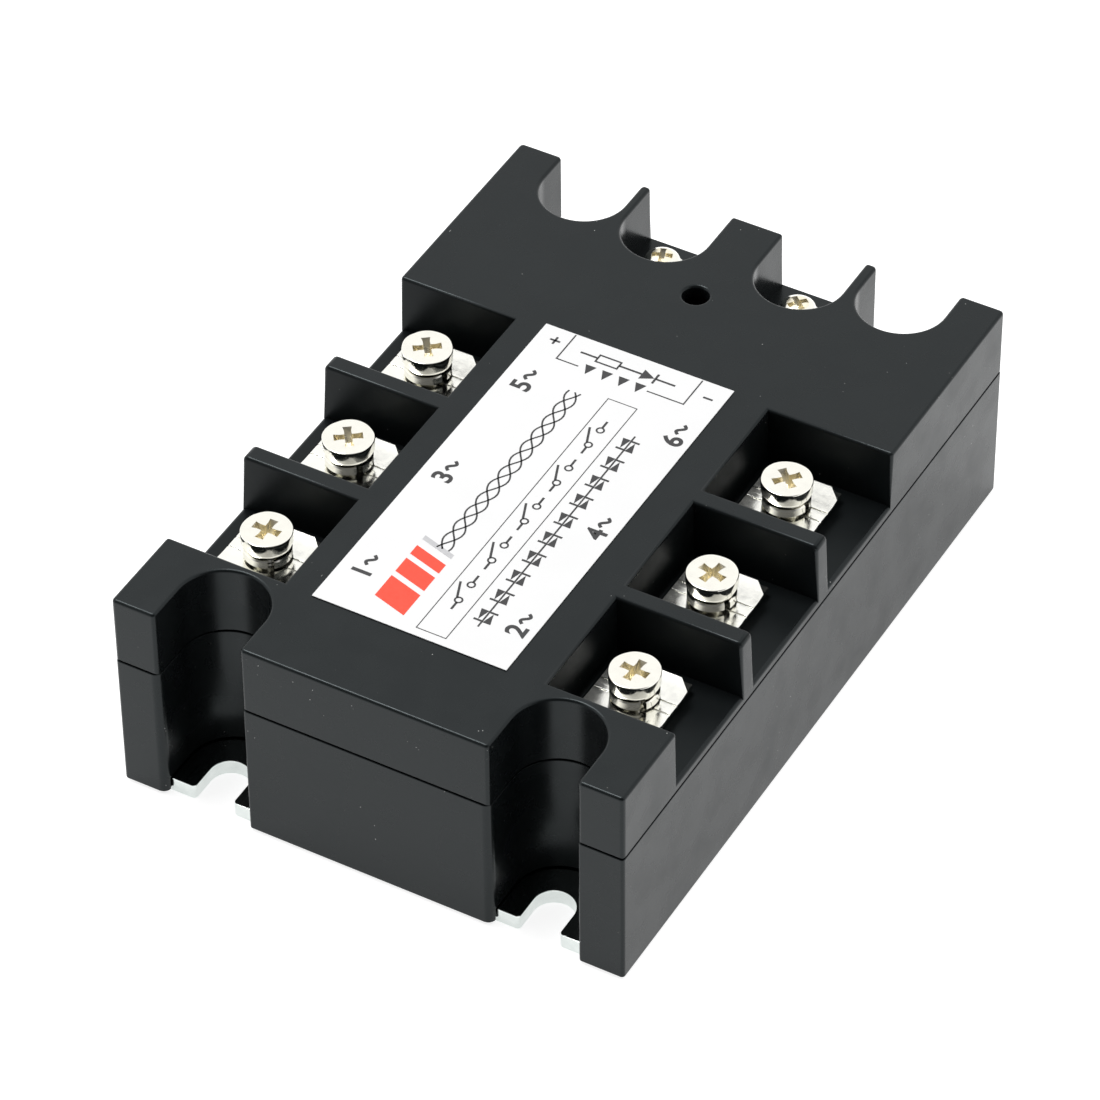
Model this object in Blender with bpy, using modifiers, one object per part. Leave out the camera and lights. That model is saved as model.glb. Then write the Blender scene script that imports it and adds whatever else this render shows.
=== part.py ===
"""Three-phase solid state relay, as an assembly of separate pieces.

Frame: origin at the middle of the base plate's underside, +X to the right across the width, +Y along
the length towards the two input terminals, +Z up out of the label. Everything is in metres.

The lower case stands round a metal base plate. Ceramic substrates on the plate carry the thyristors,
and six copper terminals rise from the substrates, through the potting, to the open bays of the cover.
Each power screw threads into a square nut in a pocket of the cover, and carries its own lock washer
and square washer. The control board lies on the potting, with the drivers, the gate resistors, the
indicator and the two input terminals.
"""

import math

import bmesh
import bpy
from mathutils import Vector

MM = 0.001

# Driving dimensions of the housing.
LENGTH = 105.0 * MM
WIDTH = 74.0 * MM
ROOF_Z = 32.1 * MM
SEAM_Z = 21.6 * MM
SEAM_GAP = 0.3 * MM
FIT = 0.3 * MM  # gap left between pieces that touch
CASE_BOTTOM_Z = 0.35 * MM
CASE_WALL = 2.2 * MM
COVER_WALL = 1.6 * MM
COVER_ROOF = 1.8 * MM
ARC_STEPS = 12
REACH = 1.0 * MM  # how far a cutter runs past the face that it cuts

# Base plate, with an open slot for a 5 mm bolt at each corner.
PLATE_THICKNESS = 2.3 * MM
PLATE_INSET = 1.3 * MM
SLOT_X = 24.1 * MM
SLOT_RADIUS = 2.85 * MM
SLOT_ARC_Y = (-47.4 * MM, 47.4 * MM)

# Notches through the housing that leave room for the bolt heads: x, radius, and near and far arc centre.
NOTCH_X = 24.25 * MM
NOTCH_RADIUS = 6.25 * MM
NOTCH_ARC_Y = (-46.5 * MM, 47.55 * MM)
NOTCH_WALL = 1.5 * MM

# Terminal bays, three on each side of the spine that carries the label.
SPINE_X = (-19.4 * MM, 18.8 * MM)
BAYS_Y = (-39.0 * MM, 19.6 * MM)
PHASES = 3
BARRIER = 2.8 * MM
BARRIER_INSET = 0.3 * MM
ROOM_OVERLAP = 0.5 * MM  # how far the rooms in the cover run into each other
BAY_LENGTH = (BAYS_Y[1] - BAYS_Y[0] - (PHASES - 1) * BARRIER) / PHASES
PHASE_PITCH = BAY_LENGTH + BARRIER
FLOOR_Z = 23.0 * MM

# The inner assembly sits a little to one side of the cover's middle.
INNER_SHIFT_X = -1.1 * MM
INNER_SHIFT_Y = 0.7 * MM
ROW_X = 27.0 * MM

# Power terminal: a tongue on the bay floor, a riser through the floor, and a foot on the substrate.
STRAP = 1.0 * MM
TONGUE_WIDTH = 12.0 * MM
TONGUE_OUTER = 5.0 * MM
RISER_WIDTH = 8.0 * MM
RISER_FROM_SCREW = 6.2 * MM
FOOT_LENGTH = 6.0 * MM
TONGUE_Z = FLOOR_Z + FIT

# Power screw, M4 with a pitch of 0.7 mm. Threads are plain, at a clearance from the nut's bore.
HEAD_EDGE = 0.3 * MM
SCREW_TIP = 0.6 * MM
POWER_SHANK = 1.65 * MM
POWER_BORE = 2.1 * MM
POWER_HEAD = 3.5 * MM
POWER_HEAD_Z = 26.85 * MM
POWER_HEAD_HEIGHT = 2.75 * MM
POWER_LENGTH = 10.0 * MM
POWER_RECESS = (4.2 * MM, 0.95 * MM, 1.6 * MM)
LOCK_WASHER_Z = 25.7 * MM
LOCK_WASHER_HEIGHT = 0.9 * MM
LOCK_WASHER_RADIUS = 3.25 * MM
LOCK_WASHER_GAP = 0.7 * MM
LOCK_WASHER_SLANT = 30.0  # degrees
SQUARE_WASHER_Z = 24.55 * MM
SQUARE_WASHER_HEIGHT = 0.95 * MM
SQUARE_WASHER_SIDE = 11.0 * MM
SQUARE_WASHER_CHAMFER = 1.7 * MM
NUT_SIDE = 7.0 * MM
NUT_HEIGHT = 3.0 * MM
NUT_BOSS_WALL = 1.2 * MM
NUT_BOSS_FLOOR = 0.7 * MM
NUT_BELOW_FLOOR = 0.1 * MM
TIP_HOLE = 2.5 * MM

# Input terminals, M3 screws with a pitch of 0.5 mm, in two half-round notches at the far end.
INPUT_NOTCH_X = (-10.35 * MM, 10.05 * MM)
INPUT_NOTCH_RADIUS = 6.3 * MM
INPUT_NOTCH_ARC_Y = 45.45 * MM
INPUT_FLOOR_Z = 23.1 * MM
INPUT_X = 10.4 * MM
INPUT_SHIFT_X = -0.8 * MM
INPUT_Y = 45.7 * MM
INPUT_STRAP = 0.8 * MM
INPUT_TONGUE_WIDTH = 6.0 * MM
INPUT_TONGUE_Y = (40.6 * MM, 48.0 * MM)
INPUT_RISER_WIDTH = 4.0 * MM
INPUT_FOOT_LENGTH = 4.0 * MM
INPUT_BUSH = (2.7 * MM, 2.0 * MM)  # radius and depth of the threaded bush under the tongue
INPUT_SHANK = 1.2 * MM
INPUT_BORE = 1.55 * MM
INPUT_HEAD = 2.45 * MM
INPUT_HEAD_Z = 25.3 * MM
INPUT_HEAD_HEIGHT = 2.1 * MM
INPUT_LENGTH = 6.0 * MM
INPUT_RECESS = (3.0 * MM, 0.75 * MM, 1.2 * MM)
INPUT_WASHER_Z = 24.5 * MM
INPUT_WASHER_HEIGHT = 0.6 * MM
INPUT_WASHER_RADIUS = 3.2 * MM

# What lies inside.
SUBSTRATE = (44.0 * MM, 14.0 * MM, 1.0 * MM)
CHIP = (9.0 * MM, 9.0 * MM, 0.8 * MM)
CHIP_X = 8.0 * MM
POTTING_Z = (5.2 * MM, 13.5 * MM)
BOARD_HALF_WIDTH = 15.8 * MM
BOARD_Y = (-36.0 * MM, 49.0 * MM)
BOARD_Z = 13.8 * MM
BOARD_THICKNESS = 1.6 * MM
DRIVER = (6.4 * MM, 8.8 * MM, 3.4 * MM)
DRIVER_STAND_OFF = 1.0 * MM
DRIVER_LEG_PITCH = 2.54 * MM
DRIVER_LEG_WIDTH = 1.2 * MM
DRIVER_LEG_THICKNESS = 0.4 * MM
DRIVER_LEG_RISE = 1.2 * MM
DRIVER_LEG_REACH = 0.5 * MM
DRIVER_X = -6.0 * MM
RESISTOR_X = 7.0 * MM
RESISTOR_LENGTH = 6.8 * MM
RESISTOR_RADIUS = 1.25 * MM
RESISTOR_RISE = 2.2 * MM
RESISTOR_CAP = 2.0 * MM  # length of the thicker part at each end
LEAD_REACH = 2.0 * MM
LEAD_RADIUS = 0.35 * MM
INDICATOR_X = -0.55 * MM
INDICATOR_Y = 35.5 * MM
INDICATOR_HOLE = 1.8 * MM
INDICATOR_RADIUS = 1.5 * MM
INDICATOR_Z = (22.5 * MM, 27.5 * MM)
INDICATOR_LEAD_X = 1.27 * MM
LEAD_OVERLAP = 1.0 * MM
DOME_STEPS = 6

# Label, a sticker on the spine.
LABEL_WIDTH = 28.3 * MM
LABEL_Y = (-39.7 * MM, 20.6 * MM)
LABEL_X = -0.9 * MM
LABEL_GAP = 0.05 * MM
LABEL_THICKNESS = 0.15 * MM

# Places that follow from the dimensions above.
SUBSTRATE_Z = PLATE_THICKNESS + FIT
CHIP_Z = SUBSTRATE_Z + SUBSTRATE[2] + FIT
BOARD_TOP = BOARD_Z + BOARD_THICKNESS
NUT_Z = FLOOR_Z - NUT_BELOW_FLOOR - NUT_HEIGHT
COVER_BOTTOM_Z = SEAM_Z + SEAM_GAP / 2
CASE_TOP_Z = SEAM_Z - SEAM_GAP / 2

# Colours as linear RGB, roughness, metallic.
FINISHES = {
    "black_plastic": ((0.028, 0.032, 0.035), 0.45, 0.0),
    "zinc_plate": ((0.62, 0.64, 0.62), 0.35, 1.0),
    "nickel": ((0.75, 0.72, 0.66), 0.25, 1.0),
    "copper": ((0.72, 0.34, 0.18), 0.35, 1.0),
    "ceramic": ((0.80, 0.80, 0.77), 0.60, 0.0),
    "silicon": ((0.08, 0.08, 0.10), 0.25, 0.4),
    "potting_resin": ((0.03, 0.03, 0.03), 0.50, 0.0),
    "board_green": ((0.02, 0.16, 0.06), 0.45, 0.0),
    "driver_plastic": ((0.85, 0.85, 0.82), 0.50, 0.0),
    "resistor_body": ((0.55, 0.42, 0.24), 0.55, 0.0),
    "red_lens": ((0.45, 0.02, 0.02), 0.15, 0.0),
    "label_paper": ((0.86, 0.86, 0.86), 0.60, 0.0),
}


def clear_scene():
    for obj in list(bpy.data.objects):
        bpy.data.objects.remove(obj, do_unlink=True)


def new_collection(name):
    collection = bpy.data.collections.new(name)
    bpy.context.scene.collection.children.link(collection)
    return collection


def make_finish(name):
    color, roughness, metallic = FINISHES[name]
    finish = bpy.data.materials.new(name)
    finish.use_nodes = True
    shader = finish.node_tree.nodes["Principled BSDF"]
    shader.inputs["Base Color"].default_value = (*color, 1.0)
    shader.inputs["Roughness"].default_value = roughness
    shader.inputs["Metallic"].default_value = metallic
    return finish


clear_scene()
RELAY = new_collection("solid_state_relay")
CUTTERS = new_collection("cutters")
MATERIALS = {name: make_finish(name) for name in FINISHES}


# ---- Building blocks ----


def link(name, mesh, collection):
    obj = bpy.data.objects.new(name, mesh)
    collection.objects.link(obj)
    return obj


def box(name, low, high, collection=CUTTERS):
    """A box between two corners, with its origin at its middle."""
    mesh = bpy.data.meshes.new(name)
    shape = bmesh.new()
    bmesh.ops.create_cube(shape, size=1.0)
    bmesh.ops.scale(shape, vec=Vector(high) - Vector(low), verts=shape.verts)
    shape.to_mesh(mesh)
    shape.free()
    obj = link(name, mesh, collection)
    obj.location = (Vector(low) + Vector(high)) / 2
    return obj


def cylinder(name, middle, radius, low, high, collection=CUTTERS, sides=24):
    """An upright cylinder round the point (x, y) from z = low to z = high."""
    mesh = bpy.data.meshes.new(name)
    shape = bmesh.new()
    bmesh.ops.create_cone(
        shape, cap_ends=True, segments=sides, radius1=radius, radius2=radius, depth=high - low
    )
    shape.to_mesh(mesh)
    shape.free()
    obj = link(name, mesh, collection)
    obj.location = (*middle, (low + high) / 2)
    return obj


def baked(obj):
    """The object's mesh as its modifiers leave it, closed along the edges of its caps."""
    bpy.context.view_layer.update()
    graph = bpy.context.evaluated_depsgraph_get()
    mesh = bpy.data.meshes.new_from_object(obj.evaluated_get(graph))
    shape = bmesh.new()
    shape.from_mesh(mesh)
    bmesh.ops.remove_doubles(shape, verts=shape.verts, dist=1e-7)
    shape.to_mesh(mesh)
    shape.free()
    return mesh


def curve_to_mesh(guide, collection):
    """Turns a curve object into a mesh object of the same name and place."""
    mesh = baked(guide)
    obj = link(guide.name, mesh, collection)
    obj.matrix_world = guide.matrix_world.copy()
    name = guide.name
    bpy.data.objects.remove(guide)
    obj.name = name
    return obj


def prism(name, points, low, high, collection=CUTTERS):
    """A closed outline in X and Y, filled and extruded from z = low to z = high."""
    curve = bpy.data.curves.new(name, "CURVE")
    curve.dimensions = "2D"
    curve.fill_mode = "BOTH"
    curve.extrude = (high - low) / 2
    spline = curve.splines.new("POLY")
    spline.points.add(len(points) - 1)
    for point, (x, y) in zip(spline.points, points):
        point.co = (x, y, 0.0, 1.0)
    spline.use_cyclic_u = True
    guide = link(name, curve, collection)
    guide.location.z = (low + high) / 2
    return curve_to_mesh(guide, collection)


def tube(name, points, radius, collection=CUTTERS):
    """A round lead through the points."""
    curve = bpy.data.curves.new(name, "CURVE")
    curve.dimensions = "3D"
    curve.bevel_depth = radius
    curve.bevel_resolution = 2
    curve.use_fill_caps = True
    spline = curve.splines.new("POLY")
    spline.points.add(len(points) - 1)
    for point, place in zip(spline.points, points):
        point.co = (*place, 1.0)
    return curve_to_mesh(link(name, curve, collection), collection)


def turned(name, profile, collection=CUTTERS, sides=24):
    """A profile of (radius, z) points, top to bottom, turned about the upright axis."""
    mesh = bpy.data.meshes.new(name)
    shape = bmesh.new()
    corners = [shape.verts.new((radius, 0.0, z)) for radius, z in profile]
    for first, second in zip(corners, corners[1:]):
        shape.edges.new((first, second))
    shape.to_mesh(mesh)
    shape.free()
    obj = link(name, mesh, collection)
    screw = obj.modifiers.new("turn", "SCREW")
    screw.steps = sides
    screw.render_steps = sides
    screw.use_merge_vertices = True
    screw.merge_threshold = 1e-6
    return obj


def combine(obj, others, operation):
    """Joins other objects to this one, or cuts them from it, and keeps them as hidden helpers."""
    for other in others:
        other.hide_render = True
        other.display_type = "WIRE"
        boolean = obj.modifiers.new(f"{operation.lower()} {other.name}", "BOOLEAN")
        boolean.operation = operation
        boolean.solver = "EXACT"
        boolean.object = other
    return obj


def place(name, mesh, finish, location=(0.0, 0.0, 0.0)):
    """One piece of the relay: an object of its own, with its own material."""
    obj = link(name, mesh, RELAY)
    obj.location = location
    finish_piece(obj, finish)
    return obj


def finish_piece(obj, finish):
    if not obj.data.materials:
        obj.data.materials.append(MATERIALS[finish])


# ---- Outlines ----


def arc(middle, radius, start, end, steps=ARC_STEPS):
    """Points from one angle to another, in degrees, ends included."""
    angles = [math.radians(start + (end - start) * step / steps) for step in range(steps + 1)]
    return [(middle[0] + radius * math.cos(a), middle[1] + radius * math.sin(a)) for a in angles]


def notched_outline(half_width, half_length, notch_x, notch_radius, arc_y):
    """A rectangle with two round-ended notches in its near end and two in its far end."""
    near_y, far_y = arc_y
    points = [(-half_width, -half_length)]
    for x in (-notch_x, notch_x):
        points.append((x - notch_radius, -half_length))
        points.extend(arc((x, near_y), notch_radius, 180, 0))
        points.append((x + notch_radius, -half_length))
    points.append((half_width, -half_length))
    points.append((half_width, half_length))
    for x in (notch_x, -notch_x):
        points.append((x + notch_radius, half_length))
        points.extend(arc((x, far_y), notch_radius, 0, -180))
        points.append((x - notch_radius, half_length))
    points.append((-half_width, half_length))
    return points


def housing_outline(wall=0.0, notch_wall=0.0):
    """The housing's outline, or the room inside walls of these thicknesses."""
    return notched_outline(
        WIDTH / 2 - wall, LENGTH / 2 - wall, NOTCH_X, NOTCH_RADIUS + notch_wall, NOTCH_ARC_Y
    )


# ---- Places of the repeated pieces ----


def power_places():
    """(number, side, x, y) of the six power terminals: odd numbers on the left, even on the right."""
    for phase in range(PHASES):
        y = BAYS_Y[0] + BAY_LENGTH / 2 + phase * PHASE_PITCH + INNER_SHIFT_Y
        for column, side in enumerate((-1, 1)):
            yield 2 * phase + column + 1, side, side * ROW_X + INNER_SHIFT_X, y


def input_places():
    """(number, side, x, y) of the two input terminals."""
    for column, side in enumerate((-1, 1)):
        yield column + 1, side, side * INPUT_X + INPUT_SHIFT_X, INPUT_Y


def phase_middles():
    for phase in range(PHASES):
        yield phase + 1, BAYS_Y[0] + BAY_LENGTH / 2 + phase * PHASE_PITCH + INNER_SHIFT_Y


def riser_x(x, side):
    """The two faces of a power terminal's riser, lower x first."""
    inner = x - side * RISER_FROM_SCREW
    return sorted((inner, inner + side * STRAP))


# ---- Housing ----


def make_base_plate():
    points = notched_outline(
        WIDTH / 2 - PLATE_INSET, LENGTH / 2 - PLATE_INSET, SLOT_X, SLOT_RADIUS, SLOT_ARC_Y
    )
    plate = prism("base_plate", points, 0.0, PLATE_THICKNESS, RELAY)
    finish_piece(plate, "zinc_plate")


def make_lower_case():
    case = prism("lower_case", housing_outline(), CASE_BOTTOM_Z, CASE_TOP_Z, RELAY)
    finish_piece(case, "black_plastic")
    ledge_z = PLATE_THICKNESS + FIT
    recess_x = WIDTH / 2 - PLATE_INSET + FIT
    recess_y = LENGTH / 2 - PLATE_INSET + FIT
    recess = box("plate_recess", (-recess_x, -recess_y, -REACH), (recess_x, recess_y, ledge_z))
    room = prism(
        "case_room", housing_outline(CASE_WALL, NOTCH_WALL), ledge_z - REACH, CASE_TOP_Z + REACH
    )
    combine(case, [recess, room], "DIFFERENCE")


def cover_bosses():
    """Pockets that hold the nuts, under the bay floors."""
    half = NUT_SIDE / 2 + FIT + NUT_BOSS_WALL
    low = NUT_Z - FIT - NUT_BOSS_FLOOR
    top = FLOOR_Z - FIT
    bosses = []
    for number, _, x, y in power_places():
        corner = (x - half, y - half, low)
        bosses.append(box(f"nut_boss_{number}", corner, (x + half, y + half, top)))
    return bosses


def bay_cutters():
    """The open bays on both sides, and the shorter outer ends of the barriers between them."""
    above = ROOF_Z + REACH
    cutters = []
    for side, wall in zip((-1, 1), SPINE_X):
        inner, outer = wall, side * (WIDTH / 2 + REACH)
        for phase in range(PHASES):
            y = BAYS_Y[0] + phase * PHASE_PITCH
            low = (min(inner, outer), y, FLOOR_Z)
            high = (max(inner, outer), y + BAY_LENGTH, above)
            cutters.append(box(f"bay_{side}_{phase}", low, high))
        inner = side * (WIDTH / 2 - BARRIER_INSET)
        low = (min(inner, outer), BAYS_Y[0], FLOOR_Z)
        high = (max(inner, outer), BAYS_Y[1], above)
        cutters.append(box(f"barrier_end_{side}", low, high))
    return cutters


def cover_room_cutters():
    """The hollow inside the cover, open at the seam."""
    below = COVER_BOTTOM_Z - REACH
    ceiling = ROOF_Z - COVER_ROOF
    near_x = NOTCH_X - NOTCH_RADIUS - NOTCH_WALL
    far_y = INPUT_NOTCH_ARC_Y - INPUT_NOTCH_RADIUS - COVER_WALL
    spine = (SPINE_X[0] + COVER_WALL, SPINE_X[1] - COVER_WALL)
    near = box(
        "near_room",
        (-near_x, -LENGTH / 2 + COVER_WALL, below),
        (near_x, BAYS_Y[0] + ROOM_OVERLAP, ceiling),
    )
    middle = box("spine_room", (spine[0], BAYS_Y[0], below), (spine[1], far_y - ROOM_OVERLAP, ceiling))
    far = box(
        "far_room",
        (-WIDTH / 2 + COVER_WALL, BAYS_Y[1] + COVER_WALL, below),
        (WIDTH / 2 - COVER_WALL, far_y, ceiling),
    )
    return [near, middle, far]


def power_terminal_cutters():
    """Nut pockets, holes for the screw ends, and slots for the risers."""
    half = NUT_SIDE / 2 + FIT
    cutters = []
    for number, side, x, y in power_places():
        low = (x - half, y - half, NUT_Z - FIT)
        cutters.append(box(f"nut_pocket_{number}", low, (x + half, y + half, FLOOR_Z + REACH)))
        bottom = NUT_Z - FIT - NUT_BOSS_FLOOR
        cutters.append(
            cylinder(f"tip_hole_{number}", (x, y), TIP_HOLE, bottom - REACH, NUT_Z, sides=16)
        )
        x_low, x_high = riser_x(x, side)
        low = (x_low - FIT, y - RISER_WIDTH / 2 - FIT, COVER_BOTTOM_Z - REACH)
        high = (x_high + FIT, y + RISER_WIDTH / 2 + FIT, FLOOR_Z + REACH)
        cutters.append(box(f"riser_slot_{number}", low, high))
    return cutters


def input_terminal_cutters():
    """The half-round input notches, with slots and holes in their floors."""
    radius, _ = INPUT_BUSH
    cutters = []
    for number, _, x, y in input_places():
        middle = INPUT_NOTCH_X[number - 1]
        points = arc((middle, INPUT_NOTCH_ARC_Y), INPUT_NOTCH_RADIUS, 180, 360)
        points.append((middle + INPUT_NOTCH_RADIUS, LENGTH / 2 + REACH))
        points.append((middle - INPUT_NOTCH_RADIUS, LENGTH / 2 + REACH))
        cutters.append(prism(f"input_notch_{number}", points, INPUT_FLOOR_Z, ROOF_Z + REACH))
        riser_y = INPUT_TONGUE_Y[0]
        low = (x - INPUT_RISER_WIDTH / 2 - FIT, riser_y - FIT, COVER_BOTTOM_Z - REACH)
        high = (x + INPUT_RISER_WIDTH / 2 + FIT, riser_y + INPUT_STRAP + FIT, INPUT_FLOOR_Z + REACH)
        cutters.append(box(f"input_slot_{number}", low, high))
        cutters.append(
            cylinder(
                f"bush_hole_{number}",
                (x, y),
                radius + FIT,
                COVER_BOTTOM_Z - REACH,
                INPUT_FLOOR_Z + REACH,
            )
        )
    return cutters


def make_top_cover():
    cover = prism("top_cover", housing_outline(), COVER_BOTTOM_Z, ROOF_Z, RELAY)
    finish_piece(cover, "black_plastic")
    combine(cover, cover_bosses(), "UNION")
    cutters = bay_cutters() + cover_room_cutters()
    cutters += power_terminal_cutters() + input_terminal_cutters()
    cutters.append(
        cylinder(
            "indicator_hole",
            (INDICATOR_X, INDICATOR_Y),
            INDICATOR_HOLE,
            COVER_BOTTOM_Z,
            ROOF_Z + REACH,
        )
    )
    combine(cover, cutters, "DIFFERENCE")


def make_label():
    low = (LABEL_X - LABEL_WIDTH / 2, LABEL_Y[0], ROOF_Z + LABEL_GAP)
    high = (LABEL_X + LABEL_WIDTH / 2, LABEL_Y[1], ROOF_Z + LABEL_GAP + LABEL_THICKNESS)
    finish_piece(box("label", low, high, RELAY), "label_paper")


# ---- Power side ----


def make_power_terminals():
    """A Z-shaped strap for each side: tongue outwards, riser down, foot inwards on the substrate."""
    for side in (-1, 1):
        rise_low, rise_high = riser_x(0.0, side)
        outer = side * TONGUE_OUTER
        inner = -side * RISER_FROM_SCREW
        foot = inner - side * FOOT_LENGTH
        half = RISER_WIDTH / 2
        top = TONGUE_Z + STRAP
        tongue = box(
            f"tongue_{side}",
            (min(inner, outer), -TONGUE_WIDTH / 2, TONGUE_Z),
            (max(inner, outer), TONGUE_WIDTH / 2, top),
        )
        # The riser and foot reach a little past each other's faces, so that the union is one body.
        riser = box(f"riser_{side}", (rise_low, -half, CHIP_Z), (rise_high, half, top))
        foot_high = max(foot, rise_high)
        foot_bar = box(
            f"foot_{side}",
            (min(foot, rise_low), -half, CHIP_Z),
            (foot_high, half, CHIP_Z + STRAP),
        )
        combine(tongue, [riser, foot_bar], "UNION")
        hole = cylinder(f"tongue_hole_{side}", (0.0, 0.0), POWER_BORE, FLOOR_Z, top + STRAP)
        combine(tongue, [hole], "DIFFERENCE")
        tongue.hide_render = True
        mesh = baked(tongue)
        height = tongue.location.z
        middle_x = tongue.location.x
        for number, terminal_side, x, y in power_places():
            if terminal_side == side:
                location = (x + middle_x, y, height)
                place(f"power_terminal_{number}", mesh, "nickel", location)


def make_repeated(helper, places, name, finish):
    """Copies one helper's finished mesh to each place. The helper stands on the Z axis."""
    helper.hide_render = True
    helper.display_type = "WIRE"
    mesh = baked(helper)
    height = helper.location.z
    for number, _, x, y in places:
        place(f"{name}_{number}", mesh, finish, (x, y, height))


def screw_helper(name, head_radius, head_z, head_height, shank_radius, length, recess):
    """A flat-topped head with a cross recess, on a plain shank."""
    top = head_z + head_height
    profile = [
        (0.0, top),
        (head_radius - HEAD_EDGE, top),
        (head_radius, top - HEAD_EDGE),
        (head_radius, head_z),
        (shank_radius, head_z),
        (shank_radius, head_z - length + SCREW_TIP),
        (shank_radius - SCREW_TIP, head_z - length),
        (0.0, head_z - length),
    ]
    screw = turned(name, profile)
    long, wide, deep = recess
    slots = []
    for index, (x, y) in enumerate(((long / 2, wide / 2), (wide / 2, long / 2))):
        slots.append(box(f"{name}_recess_{index}", (-x, -y, top - deep), (x, y, top + HEAD_EDGE)))
    return combine(screw, slots, "DIFFERENCE")


def make_power_screws():
    helper = screw_helper(
        "power_screw_shape",
        POWER_HEAD,
        POWER_HEAD_Z,
        POWER_HEAD_HEIGHT,
        POWER_SHANK,
        POWER_LENGTH,
        POWER_RECESS,
    )
    make_repeated(helper, power_places(), "power_screw", "nickel")


def ring_helper(name, bore, outer, low, high):
    profile = [(bore, high), (outer, high), (outer, low), (bore, low), (bore, high)]
    return turned(name, profile)


def make_lock_washers():
    """Split rings: a slanting gap opens each one, as on a spring washer."""
    low = LOCK_WASHER_Z
    high = LOCK_WASHER_Z + LOCK_WASHER_HEIGHT
    ring = ring_helper("lock_washer_shape", POWER_BORE, LOCK_WASHER_RADIUS, low, high)
    half_gap = LOCK_WASHER_GAP / 2
    split = box(
        "lock_washer_split",
        (POWER_BORE - REACH, -half_gap, low - REACH),
        (LOCK_WASHER_RADIUS + REACH, half_gap, high + REACH),
    )
    split.rotation_euler.x = math.radians(LOCK_WASHER_SLANT)
    combine(ring, [split], "DIFFERENCE")
    make_repeated(ring, power_places(), "lock_washer", "nickel")


def make_square_washers():
    half = SQUARE_WASHER_SIDE / 2
    cut = SQUARE_WASHER_CHAMFER
    corners = [(half, half - cut), (half - cut, half), (cut - half, half), (-half, half - cut)]
    points = corners + [(-x, -y) for x, y in corners]
    low = SQUARE_WASHER_Z
    high = SQUARE_WASHER_Z + SQUARE_WASHER_HEIGHT
    washer = prism("square_washer_shape", points, low, high)
    hole = cylinder("square_washer_hole", (0.0, 0.0), POWER_BORE, low - REACH, high + REACH)
    combine(washer, [hole], "DIFFERENCE")
    make_repeated(washer, power_places(), "square_washer", "nickel")


def make_nuts():
    half = NUT_SIDE / 2
    low = NUT_Z
    high = NUT_Z + NUT_HEIGHT
    nut = box("nut_shape", (-half, -half, low), (half, half, high))
    hole = cylinder("nut_bore", (0.0, 0.0), POWER_BORE, low - REACH, high + REACH)
    combine(nut, [hole], "DIFFERENCE")
    make_repeated(nut, power_places(), "terminal_nut", "zinc_plate")


def make_substrates():
    wide, long, high = SUBSTRATE
    for number, y in phase_middles():
        low = (INNER_SHIFT_X - wide / 2, y - long / 2, SUBSTRATE_Z)
        top = (INNER_SHIFT_X + wide / 2, y + long / 2, SUBSTRATE_Z + high)
        finish_piece(box(f"substrate_{number}", low, top, RELAY), "ceramic")


def make_thyristors():
    wide, long, high = CHIP
    for phase, y in phase_middles():
        for column, side in enumerate((-1, 1)):
            x = side * CHIP_X + INNER_SHIFT_X
            low = (x - wide / 2, y - long / 2, CHIP_Z)
            top = (x + wide / 2, y + long / 2, CHIP_Z + high)
            number = 2 * (phase - 1) + column + 1
            finish_piece(box(f"thyristor_{number}", low, top, RELAY), "silicon")


def make_potting():
    """The resin slab over the substrates, with a slot round each riser."""
    low, high = POTTING_Z
    outline = housing_outline(CASE_WALL + FIT, NOTCH_WALL + FIT)
    potting = prism("potting", outline, low, high, RELAY)
    finish_piece(potting, "potting_resin")
    slots = []
    for number, side, x, y in power_places():
        x_low, x_high = riser_x(x, side)
        start = (x_low - FIT, y - RISER_WIDTH / 2 - FIT, low - REACH)
        end = (x_high + FIT, y + RISER_WIDTH / 2 + FIT, high + REACH)
        slots.append(box(f"potting_slot_{number}", start, end))
    combine(potting, slots, "DIFFERENCE")


# ---- Control side ----


def make_control_board():
    low = (-BOARD_HALF_WIDTH, BOARD_Y[0], BOARD_Z)
    high = (BOARD_HALF_WIDTH, BOARD_Y[1], BOARD_TOP)
    finish_piece(box("control_board", low, high, RELAY), "board_green")


def make_drivers():
    """Six-legged packages with the light-triggered gate drivers, one for each phase."""
    wide, long, high = DRIVER
    base = BOARD_TOP + FIT
    body_z = base + DRIVER_STAND_OFF
    body = box("driver_shape", (-wide / 2, -long / 2, body_z), (wide / 2, long / 2, body_z + high))
    legs = []
    leg_x = wide / 2 + DRIVER_LEG_REACH
    leg_half = DRIVER_LEG_WIDTH / 2
    shoulder = (body_z + DRIVER_LEG_RISE, body_z + DRIVER_LEG_RISE + DRIVER_LEG_THICKNESS)
    for side in (-1, 1):
        for row in (-1, 0, 1):
            y = row * DRIVER_LEG_PITCH
            inner = side * (wide / 2 - DRIVER_LEG_REACH)
            outer = side * leg_x
            bend = outer - side * DRIVER_LEG_THICKNESS
            low = (min(inner, outer), y - leg_half, shoulder[0])
            top = (max(inner, outer), y + leg_half, shoulder[1])
            legs.append(box(f"leg_shoulder_{side}_{row}", low, top))
            start = (min(outer, bend), y - leg_half, base)
            end = (max(outer, bend), y + leg_half, shoulder[1])
            legs.append(box(f"leg_{side}_{row}", start, end))
    combine(body, legs, "UNION")
    places = [(number, 0, DRIVER_X, y) for number, y in phase_middles()]
    make_repeated(body, places, "driver", "driver_plastic")


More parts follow.
